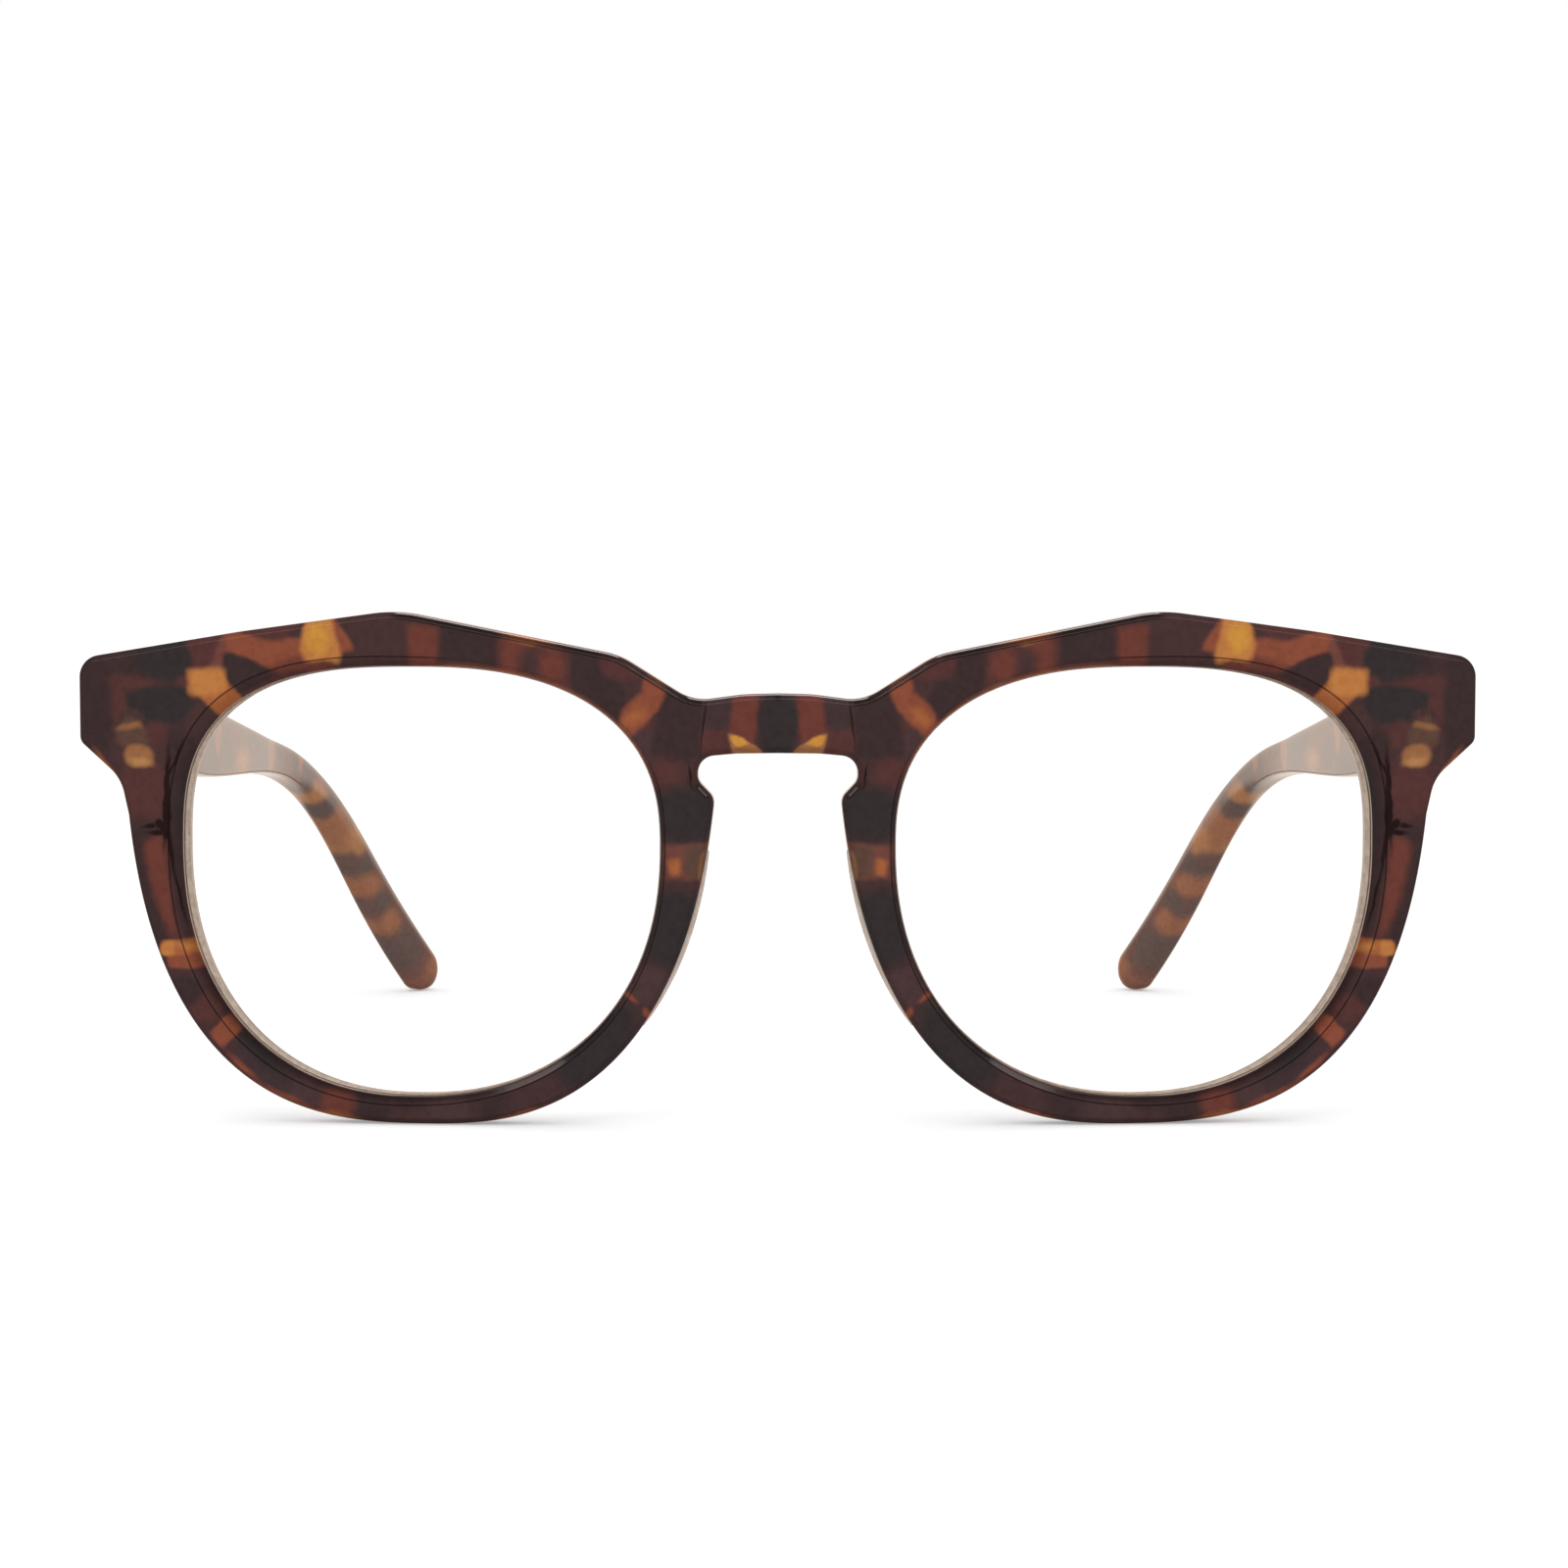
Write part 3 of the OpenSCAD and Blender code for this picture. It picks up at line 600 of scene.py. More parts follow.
# Tones of the acetate, in sRGB.
TONES = {
    "pitch": (36, 22, 22), "black": (53, 46, 47), "dark": (60, 45, 46), "grey": (66, 50, 52),
    "umber": (71, 50, 50), "plum": (74, 54, 55), "maroon": (84, 52, 50), "olive": (90, 66, 56),
    "red": (105, 58, 50), "brick": (110, 66, 58), "rust": (134, 74, 55), "tan": (148, 100, 66),
    "orange": (160, 94, 56), "sand": (174, 126, 80), "honey": (184, 119, 64), "amber": (197, 139, 60),
}
# Tone and share of the painted sheen, a pale veil over the temples' colour
PAINTED_SHEEN_TONE, PAINTED_SHEEN_SHARE = (146, 126, 114), 0.3

# Marks that the front's mesh stores: the name, how strongly each shows and its tone. All
# are painted light: a painted reflection makes the wall of an opening pale, a painted glow
# stands for light through the thin edge under the brow, and painted shade lines are dark.
FRONT_MARKS = [
    ("wall_painted_reflection", 0.85, (188, 166, 149)), ("painted_edge_glow", 0.6, (160, 92, 64)),
    ("painted_shade_line", 0.75, (22, 14, 13)),
]

# Spots of the left half as seen from the front, in mm across and up. An ellipse is a tone, a
# softness and (place across, up, half width, half height, turn in degrees); a patch is a tone,
# a softness and the corners of a convex outline. Later ones lie over earlier ones.
FRONT_GROUND = "umber"
FRONT_SPOTS = [
    # end piece
    ("dark", 1.0, (61.5, 45.8, 4.6, 2.4, 8)), ("dark", 0.8, (68.8, 41.5, 2.7, 7.0, 0)),
    ("maroon", 0.5, (58.7, 43.8, 1.2, 1.5, 0)),
    ("maroon", 0.3, (58.8, 48.2), (54.8, 49.0), (56.3, 44.8), (58.8, 44.8)),
    ("black", 0.35, (61.0, 46.1, 2.8, 2.2, 4)), ("maroon", 0.6, (63.8, 43.6, 2.6, 0.8, -5)),
    ("maroon", 0.5, (65.7, 41.4, 0.7, 2.4, 0)), ("umber", 1.0, (60.0, 37.8, 3.6, 3.4, 20)),
    ("black", 0.3, (65.0, 42.8), (62.0, 43.6), (58.6, 43.3), (58.0, 41.6), (59.4, 39.7),
     (62.8, 39.7), (64.8, 41.2)),
    ("maroon", 0.5, (61.9, 38.6, 1.1, 1.3, 0)), ("dark", 0.5, (59.2, 37.2, 1.4, 2.0, 30)),
    ("maroon", 0.9, (63.2, 33.2, 2.5, 3.1, 0)), ("umber", 0.3, (64.5, 40.3, 1.3, 1.0, 0)),
    ("olive", 0.3, (66.1, 38.6), (64.8, 40.6), (63.4, 39.9), (62.7, 38.9), (62.8, 37.4),
     (65.5, 37.2)),
    ("tan", 0.25, (66.1, 38.8), (65.6, 39.6), (63.5, 39.9), (63.1, 39.2), (64.6, 39.1)),
    ("olive", 0.1, (65.1, 41.6), (64.9, 41.6), (64.9, 40.0), (65.1, 40.0)),
    ("olive", 0.1, (64.0, 41.6), (63.8, 41.6), (63.8, 40.0), (64.0, 40.0)),
    ("tan", 0.3, (63.7, 36.5, 1.5, 1.15, -10)), ("sand", 0.35, (63.5, 35.9, 1.0, 0.4, -8)),
    # brow, from the end piece to the bridge
    ("brick", 0.25, (56.6, 44.8), (55.0, 49.0), (53.2, 49.2), (53.8, 46.5), (55.3, 44.8)),
    ("rust", 0.3, (55.0, 49.1), (52.6, 48.8), (47.0, 48.6), (45.8, 46.6), (46.0, 44.6),
     (49.6, 45.0), (54.5, 46.6)),
    ("red", 0.5, (48.0, 45.6, 2.4, 0.7, 14)),
    ("maroon", 0.3, (53.0, 48.8), (50.9, 47.9), (48.9, 48.0), (47.4, 49.6), (50.0, 49.9)),
    ("maroon", 0.3, (53.8, 42.6), (49.0, 45.0), (44.0, 45.7), (44.0, 44.7), (53.4, 41.4)),
    ("dark", 0.25, (55.2, 46.5), (54.6, 47.2), (53.5, 47.2), (51.8, 46.0), (48.6, 44.9),
     (53.9, 42.6), (54.7, 43.4), (55.2, 44.6)),
    ("orange", 0.25, (57.2, 44.9), (55.0, 44.4), (52.9, 41.9), (54.7, 39.8), (57.4, 42.3)),
    ("honey", 0.35, (58.7, 45.1), (55.0, 45.3), (54.6, 43.4), (55.2, 41.9), (57.2, 42.3),
     (58.5, 42.1)),
    ("rust", 0.25, (44.9, 50.4), (42.1, 50.4), (42.0, 47.6), (41.5, 46.9), (43.8, 46.3)),
    ("umber", 0.3, (43.8, 46.7), (41.0, 47.3), (38.0, 46.1), (38.0, 45.3), (43.8, 45.6)),
    ("honey", 0.3, (47.4, 47.3), (46.5, 51.0), (44.4, 51.0), (43.2, 46.9), (43.3, 45.8),
     (46.5, 45.7), (47.1, 46.3)),
    ("amber", 0.5, (45.6, 48.2, 1.1, 1.5, 10)),
    ("red", 0.3, (46.7, 45.9), (43.9, 45.9), (43.9, 44.9), (46.4, 44.6)),
    ("umber", 0.4, (42.1, 51.2), (41.9, 48.0), (40.1, 46.0), (36.6, 46.0), (36.3, 47.2),
     (36.5, 51.2)),
    ("red", 0.4, (36.6, 49.6), (33.3, 49.4), (33.4, 46.6), (34.0, 44.8), (36.2, 44.8),
     (36.5, 46.2)),
    ("dark", 0.6, (33.4, 50.0), (27.5, 49.4), (27.2, 44.6), (33.4, 44.8)),
    ("red", 0.7, (27.3, 49.2), (24.3, 48.2), (24.2, 44.0), (27.4, 44.4)),
    ("umber", 0.7, (24.4, 45.7, 1.2, 1.6, 0)), ("orange", 0.3, (24.6, 48.1, 2.4, 0.45, -13)),
    ("maroon", 0.5, (23.7, 47.6), (20.4, 47.0), (20.2, 42.4), (23.7, 43.4)),
    ("red", 0.5, (22.2, 45.6, 1.2, 1.6, 0)),
    ("dark", 0.35, (20.3, 47.4), (17.7, 46.8), (17.3, 45.0), (17.6, 42.0), (20.3, 42.2)),
    ("dark", 0.35, (19.9, 44.8), (15.5, 44.0), (14.7, 42.0), (15.5, 40.6), (17.2, 40.0),
     (20.0, 42.4)),
    ("maroon", 0.35, (17.7, 46.6), (13.6, 45.8), (13.4, 44.2), (15.4, 44.0), (17.4, 44.9)),
    ("plum", 0.5, (13.3, 37.7, 1.6, 1.7, 0)), ("maroon", 0.6, (12.3, 40.2, 1.0, 1.2, 0)),
    ("dark", 0.5, (11.3, 43.2), (7.3, 43.2), (7.3, 37.0), (9.0, 36.0), (12.4, 36.6), (12.2, 40.6)),
    ("rust", 0.3, (13.6, 45.2), (11.0, 43.4), (11.2, 42.0), (12.8, 40.2), (14.4, 41.6),
     (13.4, 43.6)),
    ("rust", 0.3, (11.7, 41.6), (13.4, 43.0), (15.4, 41.1), (15.7, 39.7), (14.6, 38.4),
     (13.3, 39.4)),
    ("orange", 0.6, (14.1, 40.5, 1.0, 0.55, 40)),
    # bridge
    ("maroon", 0.4, (6.1, 38.2, 1.5, 1.9, 0)),
    ("grey", 0.25, (7.6, 43.0), (4.3, 43.0), (4.6, 40.2), (5.3, 39.1), (7.3, 39.3)),
    ("red", 0.3, (4.2, 43.0), (1.4, 43.2), (1.9, 40.4), (1.7, 36.8), (4.6, 36.6), (4.9, 39.0)),
    ("tan", 0.15, (5.0, 38.9), (4.0, 38.9), (1.4, 37.1), (1.2, 36.6), (4.4, 36.6)),
    ("amber", 0.12, (4.9, 38.7), (4.1, 38.8), (2.5, 37.8), (4.3, 37.5)),
    ("black", 0.3, (0.0, 39.8, 1.95, 3.6, 0)), ("pitch", 0.08, (7.3, 40.2, 0.08, 2.4, -6)),
    ("pitch", 0.12, (8.6, 34.7, 0.14, 1.0, 8)), ("pitch", 0.12, (8.1, 33.1, 0.14, 1.1, 35)),
    # nasal rim, downwards
    ("maroon", 0.9, (11.1, 35.0, 1.5, 1.3, 0)), ("black", 0.8, (9.2, 30.8, 3.4, 2.8, 0)),
    ("brick", 0.35, (12.2, 27.7), (6.2, 28.1), (6.4, 24.4), (12.2, 24.6)),
    ("umber", 0.4, (12.4, 27.9), (11.3, 27.9), (11.0, 24.6), (12.4, 24.6)),
    ("olive", 0.4, (9.4, 27.8), (6.4, 28.0), (6.8, 24.4), (9.2, 24.7)),
    ("orange", 0.3, (10.9, 26.3), (9.7, 26.5), (9.5, 25.0), (10.5, 24.7)),
    ("tan", 0.12, (7.45, 27.5), (7.15, 27.5), (7.75, 24.3), (8.05, 24.3)),
    ("black", 0.9, (10.2, 19.5, 3.6, 4.0, 0)), ("plum", 0.6, (12.8, 13.9, 2.4, 1.7, 0)),
    ("black", 0.7, (18.0, 8.2, 5.2, 2.9, 50)), ("rust", 0.2, (12.95, 11.2, 0.3, 0.55, 30)),
    ("rust", 0.2, (14.7, 12.9, 0.8, 0.22, -35)),
    # bottom rim, outwards
    ("dark", 0.8, (29.0, 2.5, 2.3, 1.9, 0)), ("plum", 0.7, (32.6, 1.5, 2.6, 1.2, 0)),
    ("dark", 0.6, (36.8, 2.3, 1.8, 0.9, 0)), ("dark", 0.6, (40.2, 1.6, 1.9, 1.7, 0)),
    ("red", 0.6, (43.8, 2.1, 1.8, 1.4, 0)), ("plum", 0.6, (47.2, 2.9, 1.8, 1.2, -15)),
    ("grey", 0.8, (51.2, 5.4, 3.2, 2.0, -38)), ("black", 0.5, (51.6, 6.9, 3.2, 0.7, -42)),
    ("maroon", 0.5, (57.0, 11.3, 1.7, 1.4, 0)),
    ("rust", 0.2, (54.6, 11.0), (56.7, 8.9), (55.4, 7.3), (53.3, 9.4)),
    # The thin orange and rust streaks along the outer bottom edge are a painted glow of light through
    # the thin edge.
    ("orange", 0.3, (44.2, 0.9, 1.9, 0.3, -8)), ("rust", 0.2, (25.6, 1.15, 1.6, 0.14, 17)),
    ("rust", 0.3, (49.0, 2.6, 3.0, 0.3, -24)), ("rust", 0.3, (53.2, 5.4, 1.6, 0.3, -42)),
    # temporal rim, upwards
    ("dark", 0.5, (59.2, 13.1, 1.7, 1.5, 0)), ("dark", 0.6, (62.4, 23.5, 2.6, 6.6, 13)),
    ("rust", 0.2, (60.8, 15.3), (60.9, 17.0), (57.2, 17.2), (56.8, 15.5), (58.6, 15.2)),
    ("orange", 0.2, (61.9, 16.9), (61.4, 18.1), (57.4, 18.4), (57.2, 17.0), (60.0, 16.5)),
    ("honey", 0.2, (61.8, 16.6), (61.3, 18.0), (60.2, 18.1), (60.2, 16.5)),
    ("honey", 0.3, (58.6, 17.5, 1.2, 0.35, -8)),
    ("red", 0.5, (63.3, 27.6), (61.8, 28.8), (60.7, 27.6), (60.0, 22.0), (59.4, 18.5), (60.6, 18.5),
     (62.2, 22.0)),
    ("dark", 0.5, (59.3, 29.0, 1.4, 9.5, 0)), ("black", 0.3, (58.6, 33.0, 0.9, 4.0, -12)),
    # Painted dark reflections and shade: the pitch hooks and the pitch line along the crease by the
    # opening.
    ("pitch", 0.1, (63.8, 29.3), (62.2, 30.0), (61.9, 29.4), (63.2, 29.1)),
    ("pitch", 0.1, (62.3, 30.0), (61.6, 30.4), (61.2, 29.6), (61.9, 29.1)),
    ("pitch", 0.1, (61.9, 29.6), (60.6, 30.2), (60.3, 27.8), (61.0, 28.2)),
    ("pitch", 0.1, (63.2, 28.8), (61.6, 29.3), (61.0, 28.5), (61.9, 28.4)),
    ("pitch", 0.12, (60.9, 32.4, 0.3, 4.8, -3)), ("pitch", 0.12, (60.85, 30.2, 0.42, 1.9, -6)),
    ("pitch", 0.12, (60.5, 27.2, 0.24, 2.2, 8)), ("pitch", 0.1, (59.6, 22.6, 0.14, 3.0, 13)),
    ("pitch", 0.1, (60.1, 35.8, 0.16, 2.2, -22)), ("orange", 0.3, (67.0, 35.3, 0.3, 1.6, 35)),
]

# Spots of a temple as seen from its side: along the head and up.
TEMPLE_GROUND = "red"
TEMPLE_SPOTS = [
    ("maroon", 3.0, (-48.0, 39.0, 7.0, 9.0, 0)), ("red", 3.0, (-30.0, 40.0, 5.0, 3.0, 20)),
    ("plum", 3.0, (-18.0, 37.0, 6.0, 8.0, 10)), ("red", 2.0, (-4.0, 36.5, 4.0, 5.0, 0)),
    ("honey", 1.4, (1.0, 33.4, 3.0, 1.1, 0)), ("plum", 3.0, (13.0, 34.5, 5.5, 5.0, 0)),
    ("plum", 0.5, (-55.0, 41.0, 4.0, 6.0, 0)), ("orange", 0.5, (-49.5, 38.0, 2.0, 4.0, 15)),
    ("plum", 0.45, (-44.0, 42.5, 5.0, 2.6, -12)), ("honey", 0.45, (-39.0, 38.6, 2.2, 3.6, 30)),
    ("dark", 0.45, (-33.0, 41.0, 3.2, 2.4, 10)), ("rust", 0.5, (-25.5, 36.6, 3.0, 2.0, -20)),
    ("dark", 0.45, (-21.0, 40.5, 3.0, 2.2, 0)), ("orange", 0.45, (-13.5, 37.6, 1.8, 3.0, 20)),
    ("plum", 0.45, (-8.5, 34.6, 3.0, 1.8, 0)), ("plum", 0.45, (7.0, 36.0, 2.6, 2.2, 15)),
    ("orange", 0.45, (19.5, 33.6, 2.0, 2.4, 25)), ("plum", 0.45, (23.6, 34.6, 1.8, 1.8, 0)),
    ("red", 1.0, (27.0, 33.0, 1.4, 2.2, 0)), ("plum", 0.7, (31.3, 31.8, 1.3, 2.8, 0)),
    ("orange", 0.7, (33.9, 31.8, 1.1, 1.1, 0)), ("plum", 0.7, (36.3, 30.0, 2.3, 2.6, 20)),
    ("honey", 0.8, (40.7, 27.4, 2.6, 1.7, 20)), ("plum", 0.7, (44.3, 25.2, 3.4, 1.9, 0)),
    ("orange", 0.8, (47.6, 23.0, 3.0, 2.3, 42)), ("honey", 1.1, (51.6, 20.8, 2.4, 2.2, 45)),
    ("maroon", 0.8, (51.4, 18.0, 2.4, 1.3, 30)), ("plum", 0.8, (54.2, 17.3, 1.9, 1.7, 45)),
    ("orange", 0.8, (55.8, 15.0, 2.4, 1.3, 20)), ("plum", 0.8, (58.4, 12.5, 2.0, 1.6, 48)),
    ("maroon", 0.8, (56.0, 10.8, 3.5, 0.9, 48)), ("orange", 0.8, (60.4, 9.6, 1.9, 1.4, 49)),
    ("plum", 1.3, (63.2, 5.9, 3.2, 2.8, 50)), ("orange", 1.0, (69.0, 3.2, 1.7, 2.2, 30)),
    ("rust", 0.8, (66.8, 0.8, 2.6, 1.2, 0)),
]

# How softly the sides of a patch run into each other, in mm
CORNER_BLEND = 0.8
# Half depth of a spot, which goes right through
ENDLESS = 1e4


def patch_cover(graph, point, corners, softness):
    """How far a point lies inside a convex outline, as a share with a soft edge."""
    centre = np.mean(corners, axis=0)
    reach = None
    for a, b in zip(corners, corners[1:] + corners[:1]):
        out = np.array([b[1] - a[1], a[0] - b[0]]) / math.dist(a, b)
        if out @ (centre - a) > 0:
            out = -out
        along = graph.vector("DOT_PRODUCT", point, (float(out[0]), 0, float(out[1])))
        side = graph.math("SUBTRACT", along, float(out @ np.array(a)))
        reach = side if reach is None else graph.math("SMOOTH_MAX", reach, side, CORNER_BLEND)
    edge = 1.2 * softness
    return graph.ramp(reach, edge, -edge)


def paint_spots(graph, point, ground, spots):
    """Lays soft-edged spots on a ground colour, one over the other."""
    shade = colour(TONES[ground])
    for tone, softness, *outline_points in spots:
        if len(outline_points) > 1:
            cover = patch_cover(graph, point, outline_points, softness)
        else:
            across, up, half_width, half_height, turn = outline_points[0]
            local = graph.add("ShaderNodeMapping", {
                "Vector": point, "Location": (across, 0, up), "Rotation": (0, math.radians(turn), 0),
                "Scale": (half_width, ENDLESS, half_height)}, vector_type="TEXTURE").outputs[0]
            edge = softness / min(half_width, half_height)
            cover = graph.ramp(graph.vector("LENGTH", local), 1 + edge, max(1 - edge, 0))
        shade = graph.blend(cover, shade, colour(TONES[tone]))
    return shade


def wander(graph, point, scale, amount):
    """Moves points about by a slow noise, so that no spot keeps a drawn edge."""
    shift = graph.vector("SUBTRACT", graph.noise(point, scale, 1.0)["Color"], (0.5, 0.5, 0.5))
    return graph.vector("ADD", point, graph.vector("MULTIPLY", shift, (amount,) * 3))


ACETATE_ROUGHNESS = 0.09


def acetate_shader(graph, shade, point):
    """Polished acetate: cloudy colour under a clear, very slightly wavy gloss."""
    cloud = graph.noise(point, 1.3, 3.0, 0.6)["Fac"]
    clouded = graph.blend(1.0, shade, colour((196, 176, 170)), "MULTIPLY")
    shade = graph.blend(graph.ramp(cloud, 0.35, 0.75, 0.0, 0.30), shade, clouded)
    fine = graph.noise(point, 9.0, 2.0, 0.6)["Fac"]
    gloss = graph.ramp(fine, 0.3, 0.8, 0.8 * ACETATE_ROUGHNESS, 1.5 * ACETATE_ROUGHNESS)
    waves = graph.noise(point, 0.8, 2.0)["Fac"]
    bump = graph.add("ShaderNodeBump", {"Height": waves, "Strength": 0.04, "Distance": 0.0002})
    return graph.add("ShaderNodeBsdfPrincipled", {
        "Base Color": shade, "Roughness": gloss, "Normal": bump.outputs[0],
        "IOR": 1.5, "Specular Tint": colour((255, 246, 240))})


def front_material():
    """Tortoiseshell of the front, the same on the left and on the right."""
    material, graph = new_material("tortoise_front")
    place = graph.place()
    parts = graph.add("ShaderNodeSeparateXYZ", {0: place}).outputs
    mirrored = graph.add("ShaderNodeCombineXYZ", {
        0: graph.math("ABSOLUTE", parts[0]), 1: parts[1], 2: parts[2]}).outputs[0]
    shade = paint_spots(graph, wander(graph, mirrored, 0.8, 0.36), FRONT_GROUND, FRONT_SPOTS)
    # The marks lay painted reflection, painted glow and painted shade over the pattern.
    for name, strength, tone in FRONT_MARKS:
        share = graph.math("MULTIPLY", graph.attribute(name), strength)
        shade = graph.blend(share, shade, colour(tone))
    graph.finish(acetate_shader(graph, shade, place).outputs[0])
    return material


def temple_material():
    material, graph = new_material("tortoise_temple")
    place = graph.place()
    parts = graph.add("ShaderNodeSeparateXYZ", {0: place}).outputs
    # The spots go through the thickness, so they are laid on the side view.
    side_view = graph.add("ShaderNodeCombineXYZ", {0: parts[1], 1: 0.0, 2: parts[2]}).outputs[0]
    shade = paint_spots(graph, wander(graph, side_view, 0.4, 1.0), TEMPLE_GROUND, TEMPLE_SPOTS)
    # Painted sheen: a pale veil mixed into the colour stands for the white room mirrored at a
    # glancing angle, so the temples look hazier than the front.
    shade = graph.blend(PAINTED_SHEEN_SHARE, shade, colour(PAINTED_SHEEN_TONE))
    shader = acetate_shader(graph, shade, place)
    shader.inputs["Sheen Weight"].default_value = 0.3
    shader.inputs["Sheen Roughness"].default_value = 0.35
    shader.inputs["Sheen Tint"].default_value = colour((232, 212, 194))
    graph.finish(shader.outputs[0])
    return material


def pad_material():
    material, graph = new_material("pale_pad_acetate")
    place = graph.place()
    cloud = graph.noise(place, 0.5, 3.0)["Fac"]
    share = graph.ramp(cloud, 0.35, 0.65)
    shade = graph.blend(share, colour((220, 203, 193)), colour((211, 189, 174)))
    shader = graph.add("ShaderNodeBsdfPrincipled", {
        "Base Color": shade,
        "Roughness": graph.ramp(graph.noise(place, 8.0)["Fac"], 0.3, 0.7, 0.10, 0.2),
        "IOR": 1.5, "Subsurface Weight": 0.2, "Subsurface Radius": (0.002, 0.0014, 0.001)})
    graph.finish(shader.outputs[0])
    return material


MIRROR_LIMIT = 0.08


def lens_material():
    """A coated lens, which mirrors a little, and more at a glancing angle up to a limit."""
    material, graph = new_material("clear_lens_coated")
    place = graph.place()
    film = graph.noise(place, 0.05, 1.0)["Fac"]
    mirror = graph.add("ShaderNodeBsdfPrincipled", {
        "Base Color": colour((255, 255, 255)), "Metallic": 1.0,
        "Roughness": graph.ramp(film, 0.3, 0.7, 0.015, 0.035)})
    clear = graph.add("ShaderNodeBsdfTransparent", {"Color": (0.998, 0.998, 0.998, 1)})
    glancing = graph.add("ShaderNodeFresnel", {"IOR": 1.16}).outputs[0]
    coated = graph.add("ShaderNodeMixShader", {
        0: graph.math("MINIMUM", glancing, MIRROR_LIMIT), 1: clear.outputs[0], 2: mirror.outputs[0]})
    graph.finish(coated.outputs[0])
    return material


def ground_edge_material():
    material, graph = new_material("ground_lens_edge")
    place = graph.place()
    grain = graph.noise(place, 1.5, 3.0)["Fac"]
    share = graph.ramp(grain, 0.3, 0.7)
    shade = graph.blend(share, colour((182, 162, 146)), colour((204, 186, 170)))
    bump = graph.add("ShaderNodeBump", {"Height": grain, "Strength": 0.2, "Distance": 0.00005})
    shader = graph.add("ShaderNodeBsdfPrincipled", {
        "Base Color": shade, "Normal": bump.outputs[0],
        "Roughness": graph.ramp(grain, 0.3, 0.7, 0.45, 0.65)})
    graph.finish(shader.outputs[0])
    return material


# Less than whole, as the film on old metal scatters some of the light
METAL_SHARE = 0.72


def metal_material(name, rgb, roughness, stretch):
    """Drawn or turned metal: fine marks run along one way, with slight tarnish."""
    material, graph = new_material(name)
    place = graph.place()
    marks = graph.noise(graph.vector("MULTIPLY", place, stretch), 1.0, 3.0, 0.7)["Fac"]
    tarnish = graph.noise(place, 0.9, 4.0, 0.6)["Fac"]
    dulled = tuple(0.72 * v for v in rgb)
    shade = graph.blend(graph.ramp(tarnish, 0.35, 0.75, 0.0, 0.6), colour(rgb), colour(dulled))
    bump = graph.add("ShaderNodeBump", {"Height": marks, "Strength": 0.15, "Distance": 0.00003})
    shader = graph.add("ShaderNodeBsdfPrincipled", {
        "Base Color": shade, "Metallic": METAL_SHARE, "Normal": bump.outputs[0],
        "Roughness": graph.ramp(marks, 0.25, 0.75, roughness * 0.7, roughness * 1.4)})
    graph.finish(shader.outputs[0])
    return material


def dress(piece, *materials):
    """Gives a piece its materials. Each face keeps its own choice among them."""
    choices = [face.material_index for face in piece.data.polygons]
    piece.data.materials.clear()
    for material in materials:
        piece.data.materials.append(material)
    piece.data.polygons.foreach_set("material_index", choices)


dress(build_front(), front_material())
tortoise_temple = temple_material()
pad_acetate, clear_lens, ground_edge = pad_material(), lens_material(), ground_edge_material()
for side, label in ((1, "left"), (-1, "right")):
    dress(build_temple(side, label), tortoise_temple)
    dress(build_pad(side, label), pad_acetate)
    dress(build_lens(side, label), clear_lens, ground_edge)

hinge_metal = metal_material("nickel_silver_hinge", (196, 190, 180), 0.3, (1.0, 1.0, 14.0))
screw_metal = metal_material("steel_screw", (176, 176, 178), 0.22, (2.0, 2.0, 30.0))
for name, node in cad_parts.items():
    if "hinge" in name or "screw" in name:
        metal = screw_metal if "screw" in name else hinge_metal
        for slot in node.material_slots:
            slot.material = metal
        if not node.material_slots:
            node.data.materials.append(metal)

# Camera: where the photograph was taken from
LENS_MM, SENSOR_MM, IMAGE_PX, AXIS_PX = 92, 36, 1600, 793.7
CAMERA_BACK, CAMERA_HEIGHT, CAMERA_DOWN = 394, 51.8, 2.6
camera_data = bpy.data.cameras.new("camera")
camera_data.lens = LENS_MM
camera_data.sensor_width = SENSOR_MM
camera_data.clip_start = 0.01
camera = bpy.data.objects.new("camera", camera_data)
camera.location = (0, (FACE_Y - CAMERA_BACK) * MM, CAMERA_HEIGHT * MM)
focal_px = LENS_MM / SENSOR_MM * IMAGE_PX
yaw = math.atan((IMAGE_PX / 2 - AXIS_PX) / focal_px)
camera.rotation_euler = (math.radians(90 - CAMERA_DOWN), 0, -yaw)
bpy.context.scene.collection.objects.link(camera)
bpy.context.scene.camera = camera

# Stage
TABLE_SIZE, TABLE_DROP, TABLE_GLOW = 6, 0.00002, 0.29
PANEL_HEIGHT, LAMP_SIZE, LAMP_AIM = 0.3, 0.5, (0, -0.05, 0.02)
DIM_ROOM, HIGH_ROOM = 0.05, 0.25


def level_sheet(name, reach, front, back, height):
    """A flat rectangle, this far to each side and from front to back, in metres."""
    mesh = bpy.data.meshes.new(name)
    corners = [(-reach, front), (reach, front), (reach, back), (-reach, back)]
    mesh.from_pydata([(x, y, height) for x, y in corners], [], [(0, 1, 2, 3)])
    sheet = bpy.data.objects.new(name, mesh)
    bpy.context.scene.collection.objects.link(sheet)
    return sheet


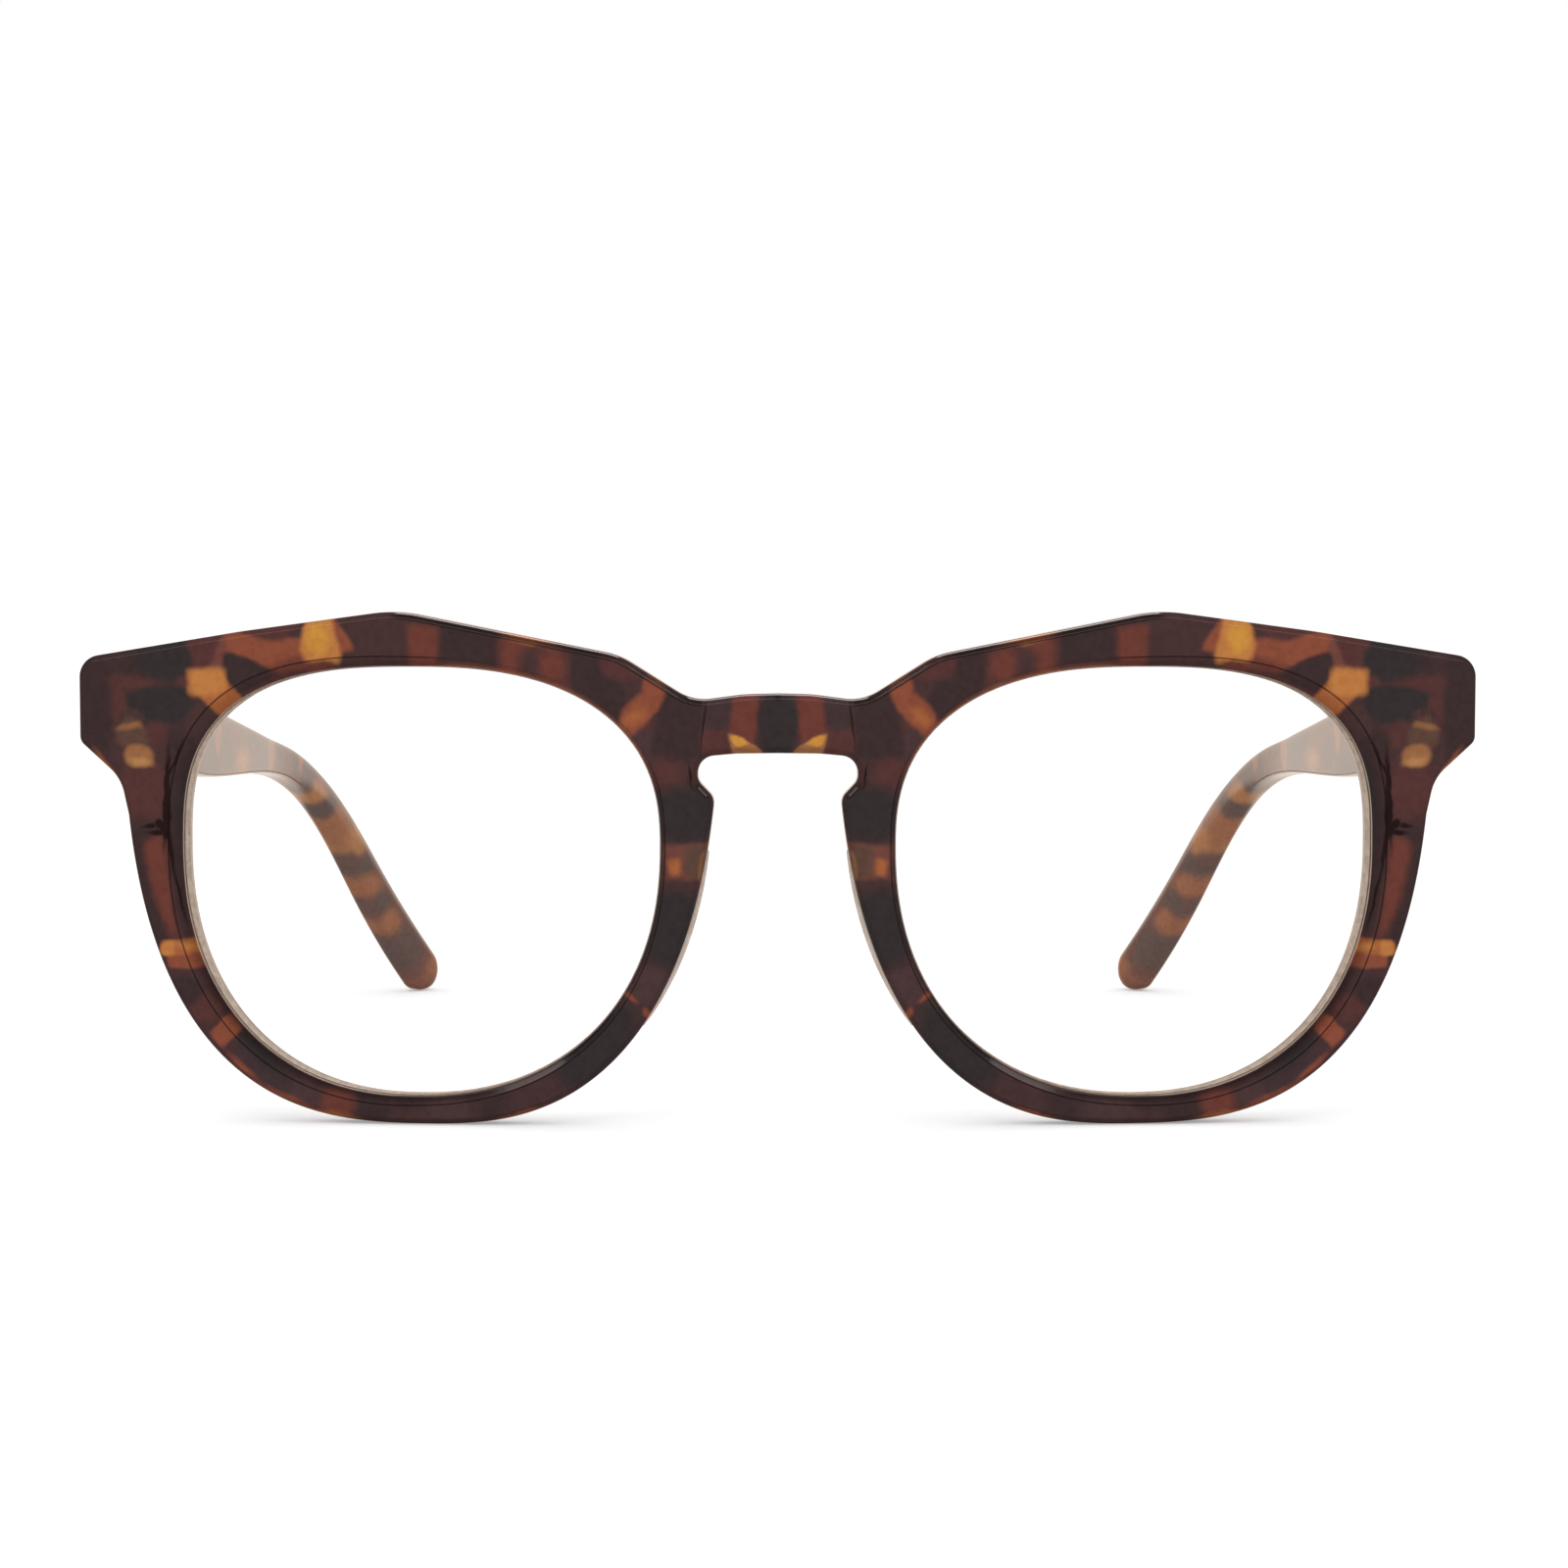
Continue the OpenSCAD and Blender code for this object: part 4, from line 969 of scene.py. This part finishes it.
def table():
    """A white table, a little brighter for the camera so that it runs into the background."""
    floor = level_sheet("table", TABLE_SIZE, -TABLE_SIZE, TABLE_SIZE, 0)
    floor.location.z = -TABLE_DROP
    floor.visible_glossy = False
    material, graph = new_material("white_table")
    sight = graph.add("ShaderNodeLightPath").outputs
    seen = graph.math("MAXIMUM", sight["Is Camera Ray"], sight["Is Transmission Ray"])
    matt = graph.add("ShaderNodeBsdfDiffuse", {"Color": (0.8, 0.8, 0.8, 1)})
    glow = graph.add("ShaderNodeEmission", {
        "Color": (1, 1, 1, 1), "Strength": graph.math("MULTIPLY", seen, TABLE_GLOW)})
    both = graph.add("ShaderNodeAddShader", {0: matt.outputs[0], 1: glow.outputs[0]})
    graph.finish(both.outputs[0])
    dress(floor, material)


def studio():
    """A white room. Polished faces see it white only behind the glasses and low down, and
    dim elsewhere, so that they keep their deep colour."""
    world = bpy.data.worlds.new("studio")
    bpy.context.scene.world = world
    graph = Graph(world)
    way = graph.add("ShaderNodeTexCoord").outputs["Generated"]
    parts = graph.add("ShaderNodeSeparateXYZ", {0: way}).outputs
    behind = graph.ramp(parts[1], 0.62, 0.84, DIM_ROOM, 1.0)
    low_down = graph.ramp(parts[2], 0.05, 0.3, 1.0, HIGH_ROOM)
    mirrored = graph.math("MULTIPLY", behind, low_down)
    sight = graph.add("ShaderNodeLightPath").outputs

    def pick(share, otherwise, value):
        inputs = {0: share, 2: otherwise, 3: value}
        return graph.add("ShaderNodeMix", inputs, data_type="FLOAT").outputs[0]

    strength = pick(sight["Is Camera Ray"], pick(sight["Is Glossy Ray"], 1.0, mirrored), 1.0)
    tint = graph.blend(sight["Is Glossy Ray"], (1, 1, 1, 1), colour((255, 243, 230)))
    sky = graph.add("ShaderNodeBackground", {"Color": tint, "Strength": strength})
    graph.finish(sky.outputs[0])


def softbox(name, place, watts):
    """A round lamp aimed at the glasses, which no polished face mirrors."""
    light = bpy.data.lights.new(name, "AREA")
    light.shape = "DISK"
    light.size = LAMP_SIZE
    light.energy = watts
    lamp = bpy.data.objects.new(name, light)
    lamp.location = place
    direction = np.array(LAMP_AIM) - np.array(place)
    lamp.rotation_euler = Vector(direction).to_track_quat("-Z", "Y").to_euler()
    lamp.visible_glossy = False
    lamp.visible_transmission = False
    bpy.context.scene.collection.objects.link(lamp)


def light_panel(name, reach, front, back, strength):
    """A long box overhead, seen only as the bright line that it draws on polished edges."""
    panel = level_sheet(name, reach, front, back, PANEL_HEIGHT)
    for kind in ("camera", "diffuse", "transmission", "volume_scatter", "shadow"):
        setattr(panel, "visible_" + kind, False)
    material, graph = new_material(name)
    glow = graph.add("ShaderNodeEmission", {"Color": (1, 1, 1, 1), "Strength": strength})
    graph.finish(glow.outputs[0])
    dress(panel, material)


table()
studio()
softbox("key", (-0.35, -0.75, 0.55), 1.0)
softbox("fill", (0.45, -0.7, 0.3), 0.7)
# A narrow box over the bridge, and a wide, dimmer one in front of the glasses
light_panel("light_panel_0", 0.07, 0, 0.17, 5.0)
light_panel("light_panel_1", 0.3, -0.16, -0.09, 1.6)

scene = bpy.context.scene
scene.view_settings.view_transform = "Standard"
scene.cycles.transparent_max_bounces = 16
